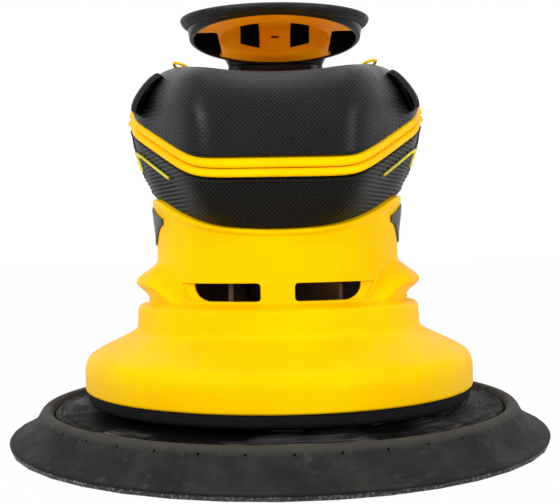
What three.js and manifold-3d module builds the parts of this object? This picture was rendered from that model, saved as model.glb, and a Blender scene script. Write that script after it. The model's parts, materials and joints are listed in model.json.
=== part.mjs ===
// Palm-grip rotary polisher: 150 mm backing pad, planetary reduction, vertical motor under a palm grip,
// and a hollow neck at the rear that carries an air intake hood. Millimetres, +Z up, front is -Y.
// The origin is the centre of the pad's working face, on the spindle axis.
import * as THREE from "three";
import { mergeVertices } from "three/addons/utils/BufferGeometryUtils.js";
import Module from "manifold-3d";

const wasm = await Module();
wasm.setup();

// ---------- driving dimensions ----------
const PAD_RADIUS = 75;
const PAD_RIDGE_RADIUS = 65.1;
const PLATE_RADIUS = 63;
const SKIRT_RADIUS = 54.8;
const SKIRT_BOTTOM = 14;
const BAND_RADIUS = 40; // the upright ring under the exhaust vents
const BAND_TOP = 37;
const WAIST_RADIUS = 34.4;
const WALL = 2.4;
const RUBBER = 2; // thickness of the moulded-on grips
const GAP = 0.3;

const VENT = { bottom: 38.8, top: 43.5, inner: 4.3, outer: 21.4, slant: 4.2 };

const GEAR_MODULE = 1;
const SUN_TEETH = 12;
const PLANET_TEETH = 18;
const RING_TEETH = 48;
const PLANETS = 3;
const PLANET_ORBIT = (GEAR_MODULE * (SUN_TEETH + PLANET_TEETH)) / 2;
const RUNNING_CLEARANCE = 0.08;

const PARTING = 71.6; // front height of the joint line between the two shells
const PALM_FOOT = 73.7; // front height of the palm rubber's lower edge
const HOOD = { y: 35, radius: 28, lip: 30.9, open: 120.8, openSlope: -0.058, lipSlope: 0.098 };

// ---------- colours ----------
function finish(color, roughness, metalness) {
  return new THREE.MeshStandardMaterial({ color, roughness, metalness });
}
const YELLOW = finish(0xffc800, 0.45, 0);
const BLACK = finish(0x1b1d1f, 0.6, 0);
const RUBBER_BLACK = finish(0x242628, 0.85, 0);
const PAD_GREY = finish(0x3c3b38, 0.9, 0);
const LABEL_GREY = finish(0x4a4c4e, 0.5, 0);
const STEEL = finish(0x9a9da0, 0.35, 1);
const ALUMINIUM = finish(0xb9bbbd, 0.45, 1);
const COPPER = finish(0xa8602c, 0.4, 1);
const BROWN = finish(0x5a3a22, 0.6, 0);
const BOARD = finish(0x1f5a34, 0.6, 0);

const root = new THREE.Group();

// ---------- solids ----------
function solid(geometry) {
  const bare = geometry.index ? geometry.toNonIndexed() : geometry.clone();
  const only = new THREE.BufferGeometry().setAttribute("position", bare.getAttribute("position"));
  const merged = mergeVertices(only, 1e-4);
  const mesh = new wasm.Mesh({
    numProp: 3,
    vertProperties: merged.attributes.position.array,
    triVerts: new Uint32Array(merged.index.array),
  });
  return new wasm.Manifold(mesh);
}

function geometryOf(body) {
  const mesh = body.getMesh();
  const geometry = new THREE.BufferGeometry();
  geometry.setAttribute("position", new THREE.BufferAttribute(mesh.vertProperties, mesh.numProp));
  geometry.setIndex(new THREE.BufferAttribute(mesh.triVerts, 1));
  return geometry;
}

function add(name, shape, material, parent = root) {
  const geometry = shape.isBufferGeometry ? shape : geometryOf(shape);
  const mesh = new THREE.Mesh(geometry, material);
  mesh.name = name;
  parent.add(mesh);
  return mesh;
}

const join = (parts) => parts.reduce((sum, part) => sum.add(part));
const cut = (body, tools) => tools.reduce((rest, tool) => rest.subtract(tool), body);

// A solid of revolution about Z from [radius, height] pairs, listed so that the outside is on the right.
function turned(profile, sides = 24) {
  const points = profile.map(([radius, height]) => new THREE.Vector2(radius, height));
  const closed = profile[0][0] > 0 || profile[profile.length - 1][0] > 0;
  if (closed) points.push(points[0].clone());
  const lathe = new THREE.LatheGeometry(points, sides).rotateX(Math.PI / 2);
  const body = solid(lathe);
  if (body.volume() > 0) return body;
  const flipped = new THREE.LatheGeometry(points.reverse(), sides).rotateX(Math.PI / 2);
  return solid(flipped);
}

const tube = (inner, outer, low, high, sides = 24) =>
  turned([[inner, low], [outer, low], [outer, high], [inner, high]], sides);
const rod = (radius, low, high, sides = 16) =>
  turned([[0, low], [radius, low], [radius, high], [0, high]], sides);

function moved(geometry, [x, y, z], turn = 0) {
  return geometry.rotateZ(turn).translate(x, y, z);
}

function block(width, depth, height, place, turn = 0) {
  return solid(moved(new THREE.BoxGeometry(width, depth, height), place, turn));
}

// A solid of revolution about Y from [radius, place along Y] pairs.
function alongY(profile, sides = 16) {
  const points = profile.map(([radius, height]) => new THREE.Vector2(radius, height));
  if (profile[0][0] > 0) points.push(points[0].clone());
  const body = solid(new THREE.LatheGeometry(points, sides));
  return body.volume() > 0 ? body : solid(new THREE.LatheGeometry(points.reverse(), sides));
}

// An outline in the XY plane, raised from one height to another.
function raised(points, low, high) {
  const shape = new THREE.Shape(points.map(([x, y]) => new THREE.Vector2(x, y)));
  const geometry = new THREE.ExtrudeGeometry(shape, { depth: high - low, bevelEnabled: false });
  return solid(geometry.translate(0, 0, low));
}

// An outline in the XZ plane, run along Y.
function runAlongY(points, from, to) {
  const shape = new THREE.Shape(points.map(([x, z]) => new THREE.Vector2(x, z)));
  const geometry = new THREE.ExtrudeGeometry(shape, { depth: to - from, bevelEnabled: false });
  return solid(geometry.rotateX(Math.PI / 2).translate(0, to, 0));
}

// A closed body through rings of equally many points, with fans over both ends.
function loft(rings) {
  const count = rings[0].length;
  const positions = rings.flat().flatMap(([x, y, z]) => [x, y, z]);
  const faces = [];
  for (let level = 0; level + 1 < rings.length; level++) {
    for (let i = 0; i < count; i++) {
      const a = level * count + i;
      const b = level * count + ((i + 1) % count);
      faces.push(a, b, b + count, a, b + count, a + count);
    }
  }
  const ends = [[0, true], [rings.length - 1, false]];
  for (const [level, low] of ends) {
    const ring = rings[level];
    const middle = positions.length / 3;
    const mean = [0, 1, 2].map((axis) => ring.reduce((sum, point) => sum + point[axis], 0) / count);
    positions.push(...mean);
    for (let i = 0; i < count; i++) {
      const a = level * count + i;
      const b = level * count + ((i + 1) % count);
      faces.push(...(low ? [b, a, middle] : [a, b, middle]));
    }
  }
  const geometry = new THREE.BufferGeometry();
  geometry.setAttribute("position", new THREE.Float32BufferAttribute(positions, 3));
  geometry.setIndex(faces);
  return solid(geometry);
}

// ---------- sizes shared by the shells and what is fitted to them ----------
const CARRIER = { low: 16, high: 19.2, radius: 20.5 };
const GEARS = { low: 19.8, high: 27.4 };
const LOCK = { z: 17.8, radius: 1.5, travel: 3 };
const LOCK_BUTTON = { half: 7, rise: 2.8, back: 50.4, face: 56 };
const CASE_SCREW = { orbit: 40.2, shank: 1.5, head: 2.9 };

function casePlaces() {
  return Array.from({ length: 4 }, (_, i) => {
    const angle = ((i + 0.5) / 4) * 2 * Math.PI;
    return [CASE_SCREW.orbit * Math.cos(angle), CASE_SCREW.orbit * Math.sin(angle)];
  });
}

// A bar with round ends in the XZ plane, centred at height z.
function roundedBar(half, high, z) {
  const points = [];
  for (const side of [1, -1]) {
    for (let i = 0; i <= 6; i++) {
      const angle = (i / 6 - 0.5) * Math.PI;
      points.push([side * (half - high + high * Math.cos(angle)), z + side * high * Math.sin(angle)]);
    }
  }
  return points;
}

// ---------- the head's outline ----------
// Every height line of the head is level across the flat front, climbs by k for each millimetre towards
// the rear, and settles once it has gone the length run.
const EASE = 6;
function rise({ bf, run }, y) {
  const along = y + bf;
  const bend = run - EASE;
  if (along <= bend) return Math.max(along, 0);
  return bend + EASE * (1 - Math.exp(-(along - bend) / EASE));
}

// Half width a, front reach bf, rear reach br and squareness n at a front height z.
const LEVELS = [
  { z: 53, k: 0.1, a: 34.4, bf: 34.4, br: 34.4, n: 2.0, run: 23 },
  { z: 56.8, k: 0.46, a: 35.5, bf: 35.3, br: 37.5, n: 2.05, run: 23 },
  { z: 61.8, k: 0.46, a: 38.6, bf: 37.8, br: 49, n: 2.4, run: 27 },
  { z: 66.3, k: 0.46, a: 41, bf: 40, br: 63, n: 2.65, run: 34 },
  { z: 69.6, k: 0.46, a: 42, bf: 41, br: 74, n: 2.8, run: 47 },
  { z: PARTING, k: 0.46, a: 42, bf: 41, br: 77, n: 2.8, run: 47 },
  { z: PALM_FOOT, k: 0.46, a: 41.8, bf: 41, br: 77.6, n: 2.8, run: 47 },
];

const smooth = (low, high, value) => {
  const t = Math.min(1, Math.max(0, (value - low) / (high - low)));
  return t * t * (3 - 2 * t);
};
const softly = (value, width) => width * Math.log1p(Math.exp(value / width));

// How far forward a level reaches at a distance x from the middle. Higher up the head, the flat front face
// ends in a soft kink, and a straight flank runs back from it to the side.
const FLANK = { kink: 20.6, slope: 1.65, corner: 2.6, from: 54, to: 64 };
function frontReach({ a, bf, z }, x, inset, along) {
  const plain = (bf - inset) * along;
  const past = softly(x - (FLANK.kink * a) / 42 + 0.56 * inset, 2);
  const turning = softly(x - (a - inset - FLANK.corner), 0.7);
  const flank = Math.max(bf - inset - FLANK.slope * past - FLANK.corner * turning, 0.5);
  const wide = Math.max((bf - inset + 60) * along, 1e-6);
  const kinked = Math.pow(Math.pow(wide, -4) + Math.pow(flank, -4), -1 / 4);
  return plain + (kinked - plain) * smooth(FLANK.from, FLANK.to, z);
}

// A place on a level. The angle is 0 at the front and turns towards +X.
const REAR_POWER = 2.1;
function onOutline(level, angle, inset = 0, lift = 0) {
  const s = Math.sin(angle);
  const c = Math.cos(angle);
  const power = c > 0 ? level.n : REAR_POWER + (level.n - REAR_POWER) * Math.pow(1 + c, 6);
  const x = (level.a - inset) * Math.sign(s) * Math.pow(Math.abs(s), 2 / power);
  const along = Math.pow(Math.abs(c), 2 / power);
  const y = c > 0 ? -frontReach(level, Math.abs(x), inset, along) : (level.br - inset) * along;
  return [x, y, level.z + lift + level.k * rise(level, y)];
}

const SIDES = 32;
function outline(level, inset = 0, lift = 0) {
  return Array.from({ length: SIDES }, (_, i) => onOutline(level, (i / SIDES) * 2 * Math.PI, inset, lift));
}

// The level at a front height between the listed ones.
function levelAt(z) {
  if (z > LEVELS[6].z) return { ...LEVELS[6], z };
  const upper = LEVELS.findIndex((level) => level.z >= z);
  if (upper <= 0) return { ...LEVELS[0], z };
  const low = LEVELS[upper - 1];
  const high = LEVELS[upper];
  const t = (z - low.z) / (high.z - low.z);
  const mix = (key) => low[key] + (high[key] - low[key]) * t;
  return { z, k: mix("k"), a: mix("a"), bf: mix("bf"), br: mix("br"), n: mix("n"), run: mix("run") };
}

// The top of the head: it slopes up to the rear, then runs level, with a raised shoulder on each side.
const DECK = { front: 98.4, top: 103 };
function deckHeight(x, y) {
  const slope = DECK.front + (DECK.top - DECK.front) * smooth(-30, 14, y);
  return slope + 3.6 * smooth(17, 28, Math.abs(x)) * (1 - smooth(4, 40, y));
}

// Rings from the band up over the shoulder to the deck. inset shrinks the whole dome, and the pinch sets
// its flanks in behind the straps.
const SIDE_PINCH = 0.07;
function domeRings(inset) {
  const base = outline(LEVELS[6], inset);
  const rings = [outline(levelAt(PARTING + 1.2), inset), base];
  const steps = 4;
  for (let j = 1; j <= steps; j++) {
    const angle = (j / steps) * (Math.PI / 2);
    const up = Math.sin(angle);
    const round = 1 - Math.cos(angle);
    rings.push(base.map(([x, y, z]) => {
      const corner = y < 0 ? 0.28 + 0.12 * (1 - Math.min(1, Math.abs(x) / 30)) : 0.26;
      const shrink = 1 - corner * round;
      const px = x * (shrink - SIDE_PINCH * smooth(0, 0.4, up));
      const py = y * shrink;
      return [px, py, z + (deckHeight(px, py) - inset - z) * up];
    }));
  }
  const crown = rings[rings.length - 1];
  for (const share of [0.55]) {
    rings.push(crown.map(([x, y]) => {
      const px = x * share;
      const py = y * share + 6 * (1 - share);
      return [px, py, deckHeight(px, py) - inset];
    }));
  }
  return rings;
}

const circle = (radius, z, sides = SIDES) => {
  const points = [];
  for (let i = 0; i < sides; i++) {
    const angle = (i / sides) * 2 * Math.PI;
    points.push([radius * Math.sin(angle), -radius * Math.cos(angle), z]);
  }
  return points;
};

// ---------- lower shell: skirt, vent band, waist and the lower half of the head ----------
const SKIRT_PROFILE = [
  [SKIRT_RADIUS, SKIRT_BOTTOM],
  [SKIRT_RADIUS, 20.4],
  [53.8, 23],
  [50.2, 25.1],
  [42.5, 28.7],
  [40.3, 30.3],
  [BAND_RADIUS, BAND_TOP - 0.6],
  [BAND_RADIUS - 1, BAND_TOP],
  [WAIST_RADIUS + 0.3, BAND_TOP + 1.6],
];

function ventTools() {
  const { bottom, top, inner, outer, slant } = VENT;
  const window = [[inner, bottom], [inner, top], [outer, top], [outer - slant * 0.45, bottom + 1.7],
    [outer - slant, bottom]];
  const tools = [];
  for (const side of [1, -1]) {
    const points = window.map(([x, z]) => [side * x, z]);
    tools.push(runAlongY(points, -40, -24), runAlongY(points, 24, 40));
  }
  return tools;
}

// The eave over each side vent: wide at the top, drawn in to a strut at each end.
function sideEave(side) {
  const rings = [];
  const rows = [
    { z: 37.2, out: 36.4, spread: 32 },
    { z: 40.4, out: 38, spread: 34 },
    { z: 42.2, out: 39.8, spread: 35 },
    { z: 43.8, out: 40.4, spread: 36 },
    { z: 46.2, out: 37.9, spread: 38 },
    { z: 49.4, out: 34.6, spread: 40 },
  ];
  for (const { z, out, spread } of rows) {
    const ring = [];
    const steps = 6;
    for (let i = 0; i <= steps; i++) {
      const angle = ((i / steps) * 2 - 1) * spread * (Math.PI / 180);
      ring.push([side * out * Math.cos(angle), side * out * Math.sin(angle), z]);
    }
    for (let i = steps; i >= 0; i--) {
      const angle = ((i / steps) * 2 - 1) * spread * (Math.PI / 180);
      ring.push([side * 33 * Math.cos(angle), side * 33 * Math.sin(angle), z]);
    }
    rings.push(ring);
  }
  return loft(rings);
}

function lowerShell() {
  const inside = RUBBER + GAP;
  const rings = [
    ...SKIRT_PROFILE.map(([radius, z]) => circle(radius, z)),
    outline(LEVELS[0]),
    outline(LEVELS[1]),
    outline(levelAt(57.1), inside),
    outline(LEVELS[2], inside),
    outline(LEVELS[3], inside),
    outline(levelAt(69.3), inside),
    outline(LEVELS[4]),
    outline(levelAt(70.6), -0.2),
    outline(levelAt(PARTING - 0.3), 0.6),
  ];
  const cavity = loft([
    circle(SKIRT_RADIUS - WALL, SKIRT_BOTTOM - 1),
    circle(SKIRT_RADIUS - WALL, 20),
    circle(37.4, 29),
    circle(37.4, BAND_TOP - WALL + 0.8),
    circle(WAIST_RADIUS - WALL, BAND_TOP),
    circle(WAIST_RADIUS - WALL, 50),
    outline(LEVELS[0], WALL),
    outline(LEVELS[1], inside + WALL),
    outline(LEVELS[2], inside + WALL),
    outline(LEVELS[3], inside + WALL),
    outline(LEVELS[4], inside + WALL),
    outline(levelAt(PARTING + 1.5), inside + WALL),
  ]);
  const sideVents = [1, -1].map((side) => block(9, 22, 2.6, [side * 35, 0, 39.7]));
  const buttonHole = runAlongY(roundedBar(LOCK_BUTTON.half + GAP, LOCK_BUTTON.rise + GAP, LOCK.z), 48, 60);
  const bosses = casePlaces().map(([x, y]) => rod(3.6, SKIRT_BOTTOM, 27.4, 8).translate([x, y, 0]));
  const pilots = casePlaces().map(([x, y]) => rod(CASE_SCREW.shank + 0.15, 13, 23, 8).translate([x, y, 0]));
  const hollow = cut(join([loft(rings), sideEave(1), sideEave(-1)]), [cavity, ...ventTools(), ...sideVents]);
  return cut(join([hollow, ...bosses]), [...pilots, buttonHole, glandTool]);
}

// ---------- lower grip ----------
function lowerGrip() {
  const outer = loft([
    outline(levelAt(57.8)),
    outline(LEVELS[2]),
    outline(LEVELS[3]),
    outline(levelAt(68.2)),
    outline(levelAt(68.9), 0.6),
  ]);
  const inner = loft([
    outline(levelAt(57.1), RUBBER, -4),
    outline(levelAt(57.1), RUBBER),
    outline(LEVELS[2], RUBBER),
    outline(LEVELS[3], RUBBER),
    outline(levelAt(69.3), RUBBER),
    outline(levelAt(69.3), RUBBER, 4),
  ]);
  return outer.subtract(inner);
}
add("lower_grip", lowerGrip(), RUBBER_BLACK);

// ---------- upper shell and upper grip ----------
// The deck is a tongue of the upper shell that runs back between the two horns of the grip.
const GRIP_REAR = 30;
function deckRegion(grow) {
  const half = 25 + grow;
  const front = -6 - grow;
  const corner = 12;
  const points = [[-half, 120], [half, 120]];
  for (const [cx, from] of [[half - corner, 0], [corner - half, 90]]) {
    for (let i = 0; i <= 5; i++) {
      const angle = ((from + i * 18) * Math.PI) / 180;
      points.push([cx + corner * Math.cos(angle), front + corner - corner * Math.sin(angle)]);
    }
  }
  const tongue = raised(points.reverse(), 88, 130);
  const behind = block(120, 120, 80, [0, GRIP_REAR - grow + 60, 100]);
  return tongue.add(behind);
}

const fullDome = loft(domeRings(0));
const coreRings = domeRings(RUBBER + GAP);

// The same rings a little larger all round, which leaves a gap to the body they came from.
function swollen(rings, share = 1.012) {
  const middle = [0, 15, 82];
  return rings.map((ring) => ring.map((point) => point.map((value, axis) =>
    middle[axis] + (value - middle[axis]) * share)));
}
const NECK = { y: 67.5, half: 17, deep: 6.5, low: 99, high: 119 };

// A rounded bar outline in the XY plane.
function barRing(half, deep, y, z) {
  const ring = [];
  const steps = 24;
  for (let i = 0; i < steps; i++) {
    const angle = (i / steps) * 2 * Math.PI;
    const s = Math.sin(angle);
    const c = Math.cos(angle);
    const power = 2 / 3.6;
    ring.push([
      half * Math.sign(s) * Math.pow(Math.abs(s), power),
      y - deep * Math.sign(c) * Math.pow(Math.abs(c), power),
      z,
    ]);
  }
  return ring;
}
const neckSocket = loft([
  barRing(NECK.half + GAP, NECK.deep + GAP, NECK.y, NECK.low - GAP),
  barRing(NECK.half + GAP, NECK.deep + GAP, NECK.y, 130),
]);
const neckDuct = loft([
  barRing(NECK.half - WALL, NECK.deep - WALL, NECK.y, 80),
  barRing(NECK.half - WALL, NECK.deep - WALL, NECK.y, 112),
  barRing(NECK.half - WALL, NECK.deep - WALL, NECK.y, 124),
]);

const DIAL = { y: 49, z: 97.4, radius: 7, half: 3 };
const dialSlot = block(DIAL.half * 2 + 0.8, DIAL.radius * 2 + 0.8, 14, [0, DIAL.y, 104]);
const SWITCH = { y: 24, width: 9, length: 11, travel: 5 };
const switchSlot = block(6, 12, 12, [0, SWITCH.y + SWITCH.travel / 2, 101]);
const GLAND = { y: 77, z: 93.9, radius: 4.6, bore: 3.2 };
const glandHole = new THREE.CylinderGeometry(GLAND.radius + GAP, GLAND.radius + GAP, 24, 24);
const glandTool = solid(glandHole.translate(0, GLAND.y, GLAND.z));

function upperShell() {
  const bead = loft([
    outline(levelAt(PARTING), 0.6),
    outline(levelAt(PARTING + 1.2), -0.2),
    outline(levelAt(PALM_FOOT - 0.3), 0),
    outline(levelAt(PALM_FOOT - 0.3), 4),
  ]);
  const core = loft(coreRings);
  const deck = fullDome.intersect(deckRegion(0));
  const cavity = loft([outline(levelAt(PARTING), WALL + RUBBER, -2), ...domeRings(WALL + RUBBER + GAP)]);
  return cut(join([bead, core, deck]), [cavity, neckSocket, neckDuct, dialSlot, switchSlot, glandTool]);
}
add("lower_shell", lowerShell(), YELLOW);
add("upper_shell", upperShell(), YELLOW);

function upperGrip() {
  const skirt = loft([outline(levelAt(PARTING), -4), outline(LEVELS[6], -4), outline(LEVELS[6], 8)]);
  const inner = loft(swollen(coreRings));
  return cut(fullDome, [inner, skirt, deckRegion(GAP)]);
}
add("upper_grip", upperGrip(), RUBBER_BLACK);

// ---------- hood: shell, rubber lip, liner, neck ----------
function hoodRing(radius, z, slope, sides = 26) {
  const ring = [];
  for (let i = 0; i < sides; i++) {
    const angle = (i / sides) * 2 * Math.PI;
    const y = -radius * Math.cos(angle);
    ring.push([radius * Math.sin(angle), HOOD.y + y, z + slope * y]);
  }
  return ring;
}
const hoodLip = (radius, z) => hoodRing(radius, z, HOOD.lipSlope);
const hoodOpening = (radius, lift = 0) => hoodRing(radius, HOOD.open + lift, HOOD.openSlope);

function hoodShell() {
  const outside = loft([
    hoodOpening(HOOD.radius),
    hoodLip(28.6, 125.2),
    hoodLip(28.2, 127.2),
    hoodLip(24, 128.9),
    hoodLip(14, 129.9),
  ]);
  const back = loft([
    barRing(NECK.half, NECK.deep, NECK.y, NECK.high),
    barRing(NECK.half + 1.5, NECK.deep, NECK.y - 1.2, 122),
    barRing(NECK.half + 2.5, NECK.deep + 1, NECK.y - 4, 124.4),
    barRing(NECK.half + 2, NECK.deep + 1, NECK.y - 7, 126.2),
  ]);
  const inside = loft([
    hoodOpening(HOOD.radius - 1.3, -2),
    hoodRing(HOOD.radius - 1.3, 123.8, 0.05),
    hoodLip(26.4, 126.3),
    hoodLip(13, 128.2),
  ]);
  const duct = loft([
    barRing(NECK.half - WALL, NECK.deep - WALL, NECK.y, 115),
    barRing(NECK.half - WALL, NECK.deep - WALL, NECK.y - 1.5, 122),
    barRing(NECK.half - WALL, NECK.deep - WALL, NECK.y - 9, 124.4),
  ]);
  return cut(outside.add(back), [inside, duct]);
}
add("hood_shell", hoodShell(), BLACK);

function hoodRim() {
  const outer = loft([
    hoodLip(29.2, 125),
    hoodLip(30.2, 125.8),
    hoodLip(HOOD.lip, 127),
    hoodLip(30.4, 127.9),
    hoodLip(29.2, 128.4),
  ]);
  return outer.subtract(loft([hoodLip(28.9, 124), hoodLip(28.9, 131)]));
}
add("hood_rim", hoodRim(), RUBBER_BLACK);

// The liner is a bowl with a ledge round its mouth, four air windows and a small slot.
const LINER = { radius: 26.4, ledge: 121.9, well: 17.6, wall: 1.4 };
function hoodLiner() {
  const { radius, ledge, well, wall } = LINER;
  const bowlRise = 3.8;
  const bowl = turned([
    [0, ledge + bowlRise],
    [well - 5, ledge + bowlRise - 0.8],
    [well, ledge],
    [radius, ledge],
    [radius, ledge + wall],
    [well + wall, ledge + wall],
    [well - 4, ledge + bowlRise + 0.6],
    [0, ledge + bowlRise + wall],
  ]);
  const windows = [-8.4, 8.4].flatMap((x) => [
    block(6.4, 12, 14, [x, 8, ledge]),
    block(6.4, 9, 14, [x, -9, ledge]),
  ]);
  const slot = block(3, 1.4, 14, [0, 1, ledge]);
  const sides = [-1, 1].map((side) => block(6, 13, 14, [side * 21.2, 2.5, ledge]));
  return cut(bowl, [...windows, slot, ...sides]).translate([0, HOOD.y, 0]);
}
add("hood_liner", hoodLiner(), YELLOW);

function neck() {
  const { half, deep, y, low, high } = NECK;
  const outer = loft([
    barRing(half, deep, y, low),
    barRing(half, deep, y, 108),
    barRing(half, deep, y, high - GAP),
  ]);
  const duct = loft([
    barRing(half - WALL, deep - WALL, y, low - 2),
    barRing(half - WALL, deep - WALL, y, high + 2),
  ]);
  return outer.subtract(duct);
}
add("neck", neck(), BLACK);

// ---------- pad, plate and seal ----------
add("pad_face", rod(PAD_RADIUS - 0.4, 0, 1, 40), PAD_GREY);

const padProfile = [
  [0, 1],
  [PAD_RADIUS - 0.4, 1],
  [PAD_RADIUS, 1.3],
  [PAD_RADIUS - 0.3, 2.1],
  [71.7, 3.1],
  [69.2, 4.9],
  [67.7, 6.9],
  [66.8, 8.7],
  [66, 9.5],
  [PAD_RIDGE_RADIUS, 9.6],
  [64.2, 9.3],
  [PLATE_RADIUS + GAP, 8.2],
  [PLATE_RADIUS + GAP, 5.4],
  [0, 5.4],
];
add("backing_pad", turned(padProfile, 40), PAD_GREY);

const SPINDLE_THREAD = 7;
add("pad_plate", turned([
  [SPINDLE_THREAD + 0.3, 5.4],
  [PLATE_RADIUS, 5.4],
  [PLATE_RADIUS, 7.9],
  [PLATE_RADIUS - 0.7, 8.6],
  [SPINDLE_THREAD + 0.3, 8.6],
], 40), BLACK);

add("seal_ring", turned([
  [46.3, 10.7],
  [53.6, 10.7],
  [54, 11.1],
  [54, SKIRT_BOTTOM],
  [46.3, SKIRT_BOTTOM],
], 40), RUBBER_BLACK);

// ---------- gear case ----------
const SPINDLE_NECK = 8;
const SPINDLE_BEARING = { outer: 16, low: 10.8, high: 15.6 };

const LOCK_BOSS = 4;
function gearCase() {
  const body = turned([
    [12, 9.7],
    [33, 9.7],
    [35, 11],
    [45.8, 11],
    [45.8, 13.6],
    [34, 13.6],
    [34, 28.6],
    [29.3, 28.6],
    [29.3, 15.9],
    [SPINDLE_BEARING.outer + 0.1, 15.9],
    [SPINDLE_BEARING.outer + 0.1, 10.7],
    [12, 10.7],
  ]);
  const boss = alongY([[0, 31], [LOCK_BOSS, 31], [LOCK_BOSS, 45.8], [0, 45.8]]).translate([0, 0, LOCK.z]);
  const pinHole = alongY([
    [0, 27],
    [LOCK.radius + 0.2, 27],
    [LOCK.radius + 0.2, 40.8],
    [2.7, 40.8],
    [2.7, 47],
    [0, 47],
  ]).translate([0, 0, LOCK.z]);
  const screwHole = rod(CASE_SCREW.shank + 0.15, 9, 16, 8);
  const screwHoles = casePlaces().map(([x, y]) => screwHole.translate([x, y, 0]));
  return cut(body.add(boss), [pinHole, ...screwHoles]);
}
add("gear_case", gearCase(), ALUMINIUM);

add("spindle_bearing",
  tube(SPINDLE_NECK + RUNNING_CLEARANCE, SPINDLE_BEARING.outer, SPINDLE_BEARING.low, SPINDLE_BEARING.high),
  STEEL);

// ---------- gears ----------
const PRESSURE = (20 * Math.PI) / 180;
const involute = (angle) => Math.tan(angle) - angle;

// Points of one gear outline, with tooth 0 centred on the angle start. inner turns the teeth inwards.
function gearOutline(teeth, start, { tip, root: foot, inner = false }) {
  const pitch = (GEAR_MODULE * teeth) / 2;
  const base = pitch * Math.cos(PRESSURE);
  const play = 0.26;
  const thick = (Math.PI * GEAR_MODULE) / 2 - play;
  const halfAt = (radius) => {
    const angle = radius > base ? Math.acos(base / radius) : 0;
    const turn = involute(PRESSURE) - involute(angle);
    return thick / 2 / pitch + (inner ? -turn : turn);
  };
  const radii = inner ? [pitch + foot, pitch - tip] : [pitch - foot, pitch + tip];
  const points = [];
  for (let tooth = 0; tooth < teeth; tooth++) {
    const centre = start + (tooth / teeth) * 2 * Math.PI;
    const flank = radii.map((radius) => [radius, halfAt(radius)]);
    for (const [radius, half] of flank) points.push([radius, centre - half]);
    for (const [radius, half] of [...flank].reverse()) points.push([radius, centre + half]);
  }
  return points.map(([radius, angle]) => [radius * Math.cos(angle), radius * Math.sin(angle)]);
}

function circlePoints(radius, sides) {
  return Array.from({ length: sides }, (_, i) => {
    const angle = (i / sides) * 2 * Math.PI;
    return [radius * Math.cos(angle), radius * Math.sin(angle)];
  });
}

const SHAFT = { sun: 3, main: 4 };
function gear(teeth, start, bore) {
  const body = raised(gearOutline(teeth, start, { tip: 0.8, root: 1.1 }), GEARS.low, GEARS.high);
  return body.subtract(raised(circlePoints(bore, 24), GEARS.low - 1, GEARS.high + 1));
}

function ringGear() {
  const disc = raised(circlePoints(29, 36), GEARS.low - 0.3, GEARS.high + 0.3);
  const inside = gearOutline(RING_TEETH, 0, { tip: 0.75, root: 1.15, inner: true });
  return disc.subtract(raised(inside, GEARS.low - 2, GEARS.high + 2));
}
add("ring_gear", ringGear(), STEEL);
add("sun_gear", gear(SUN_TEETH, 0, SHAFT.sun + 0.1), STEEL);

// ---------- spindle, carrier, pins and planets ----------
const PIN_RADIUS = 2.5;
function spindle() {
  const body = turned([
    [0, 5.6],
    [SPINDLE_THREAD, 5.6],
    [SPINDLE_THREAD, 8.7],
    [10.4, 8.7],
    [10.4, 10.5],
    [SPINDLE_NECK, 10.5],
    [SPINDLE_NECK, CARRIER.low],
    [CARRIER.radius, CARRIER.low],
    [CARRIER.radius, CARRIER.high],
    [0, CARRIER.high],
  ]);
  const holes = planetPlaces().map(([x, y]) => rod(PIN_RADIUS + 0.1, 16.8, 22).translate([x, y, 0]));
  const notches = [];
  const notchCount = 8;
  for (let i = 0; i < notchCount; i++) {
    const angle = Math.PI / 2 + (i / notchCount) * 2 * Math.PI;
    const place = [21 * Math.cos(angle), 21 * Math.sin(angle), LOCK.z];
    notches.push(block(5, 4.8, 8, place, angle));
  }
  return cut(body, [...holes, ...notches]);
}

function planetPlaces() {
  return Array.from({ length: PLANETS }, (_, i) => {
    const angle = (i / PLANETS) * 2 * Math.PI;
    return [PLANET_ORBIT * Math.cos(angle), PLANET_ORBIT * Math.sin(angle), angle];
  });
}
add("spindle", spindle(), STEEL);

planetPlaces().forEach(([x, y, angle], index) => {
  const halfTooth = Math.PI / PLANET_TEETH;
  const planet = gear(PLANET_TEETH, angle + halfTooth, PIN_RADIUS + RUNNING_CLEARANCE);
  add(`planet_gear_${index + 1}`, planet.translate([x, y, 0]), STEEL);
  const pin = rod(PIN_RADIUS, 16.9, GEARS.high + 0.4);
  add(`planet_pin_${index + 1}`, pin.translate([x, y, 0]), STEEL);
});

// ---------- spindle lock ----------
add("lock_pin", alongY([[0, 21.6], [LOCK.radius, 21.6], [LOCK.radius, 44], [0, 44]])
  .translate([0, 0, LOCK.z]), STEEL);

// ---------- motor ----------
const LOW_BEARING = { outer: 11, low: 29.9, high: 35 };
const TOP_BEARING = { outer: 11, low: 81, high: 86.5 };
add("motor_plate", turned([
  [7, 29],
  [14, 29],
  [14, 32.6],
  [37, 32.6],
  [37, 34.8],
  [14, 34.8],
  [14, 36.2],
  [LOW_BEARING.outer + 0.1, 36.2],
  [LOW_BEARING.outer + 0.1, 29.8],
  [7, 29.8],
]), ALUMINIUM);
add("lower_bearing", tube(SHAFT.main + RUNNING_CLEARANCE, LOW_BEARING.outer, LOW_BEARING.low,
  LOW_BEARING.high), STEEL);
add("upper_bearing", tube(SHAFT.main + RUNNING_CLEARANCE, TOP_BEARING.outer, TOP_BEARING.low,
  TOP_BEARING.high), STEEL);

add("motor_shaft", turned([
  [0, 20.2],
  [SHAFT.sun, 20.2],
  [SHAFT.sun, 28.2],
  [SHAFT.main, 28.2],
  [SHAFT.main, 88],
  [0, 88],
]), STEEL);

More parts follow.
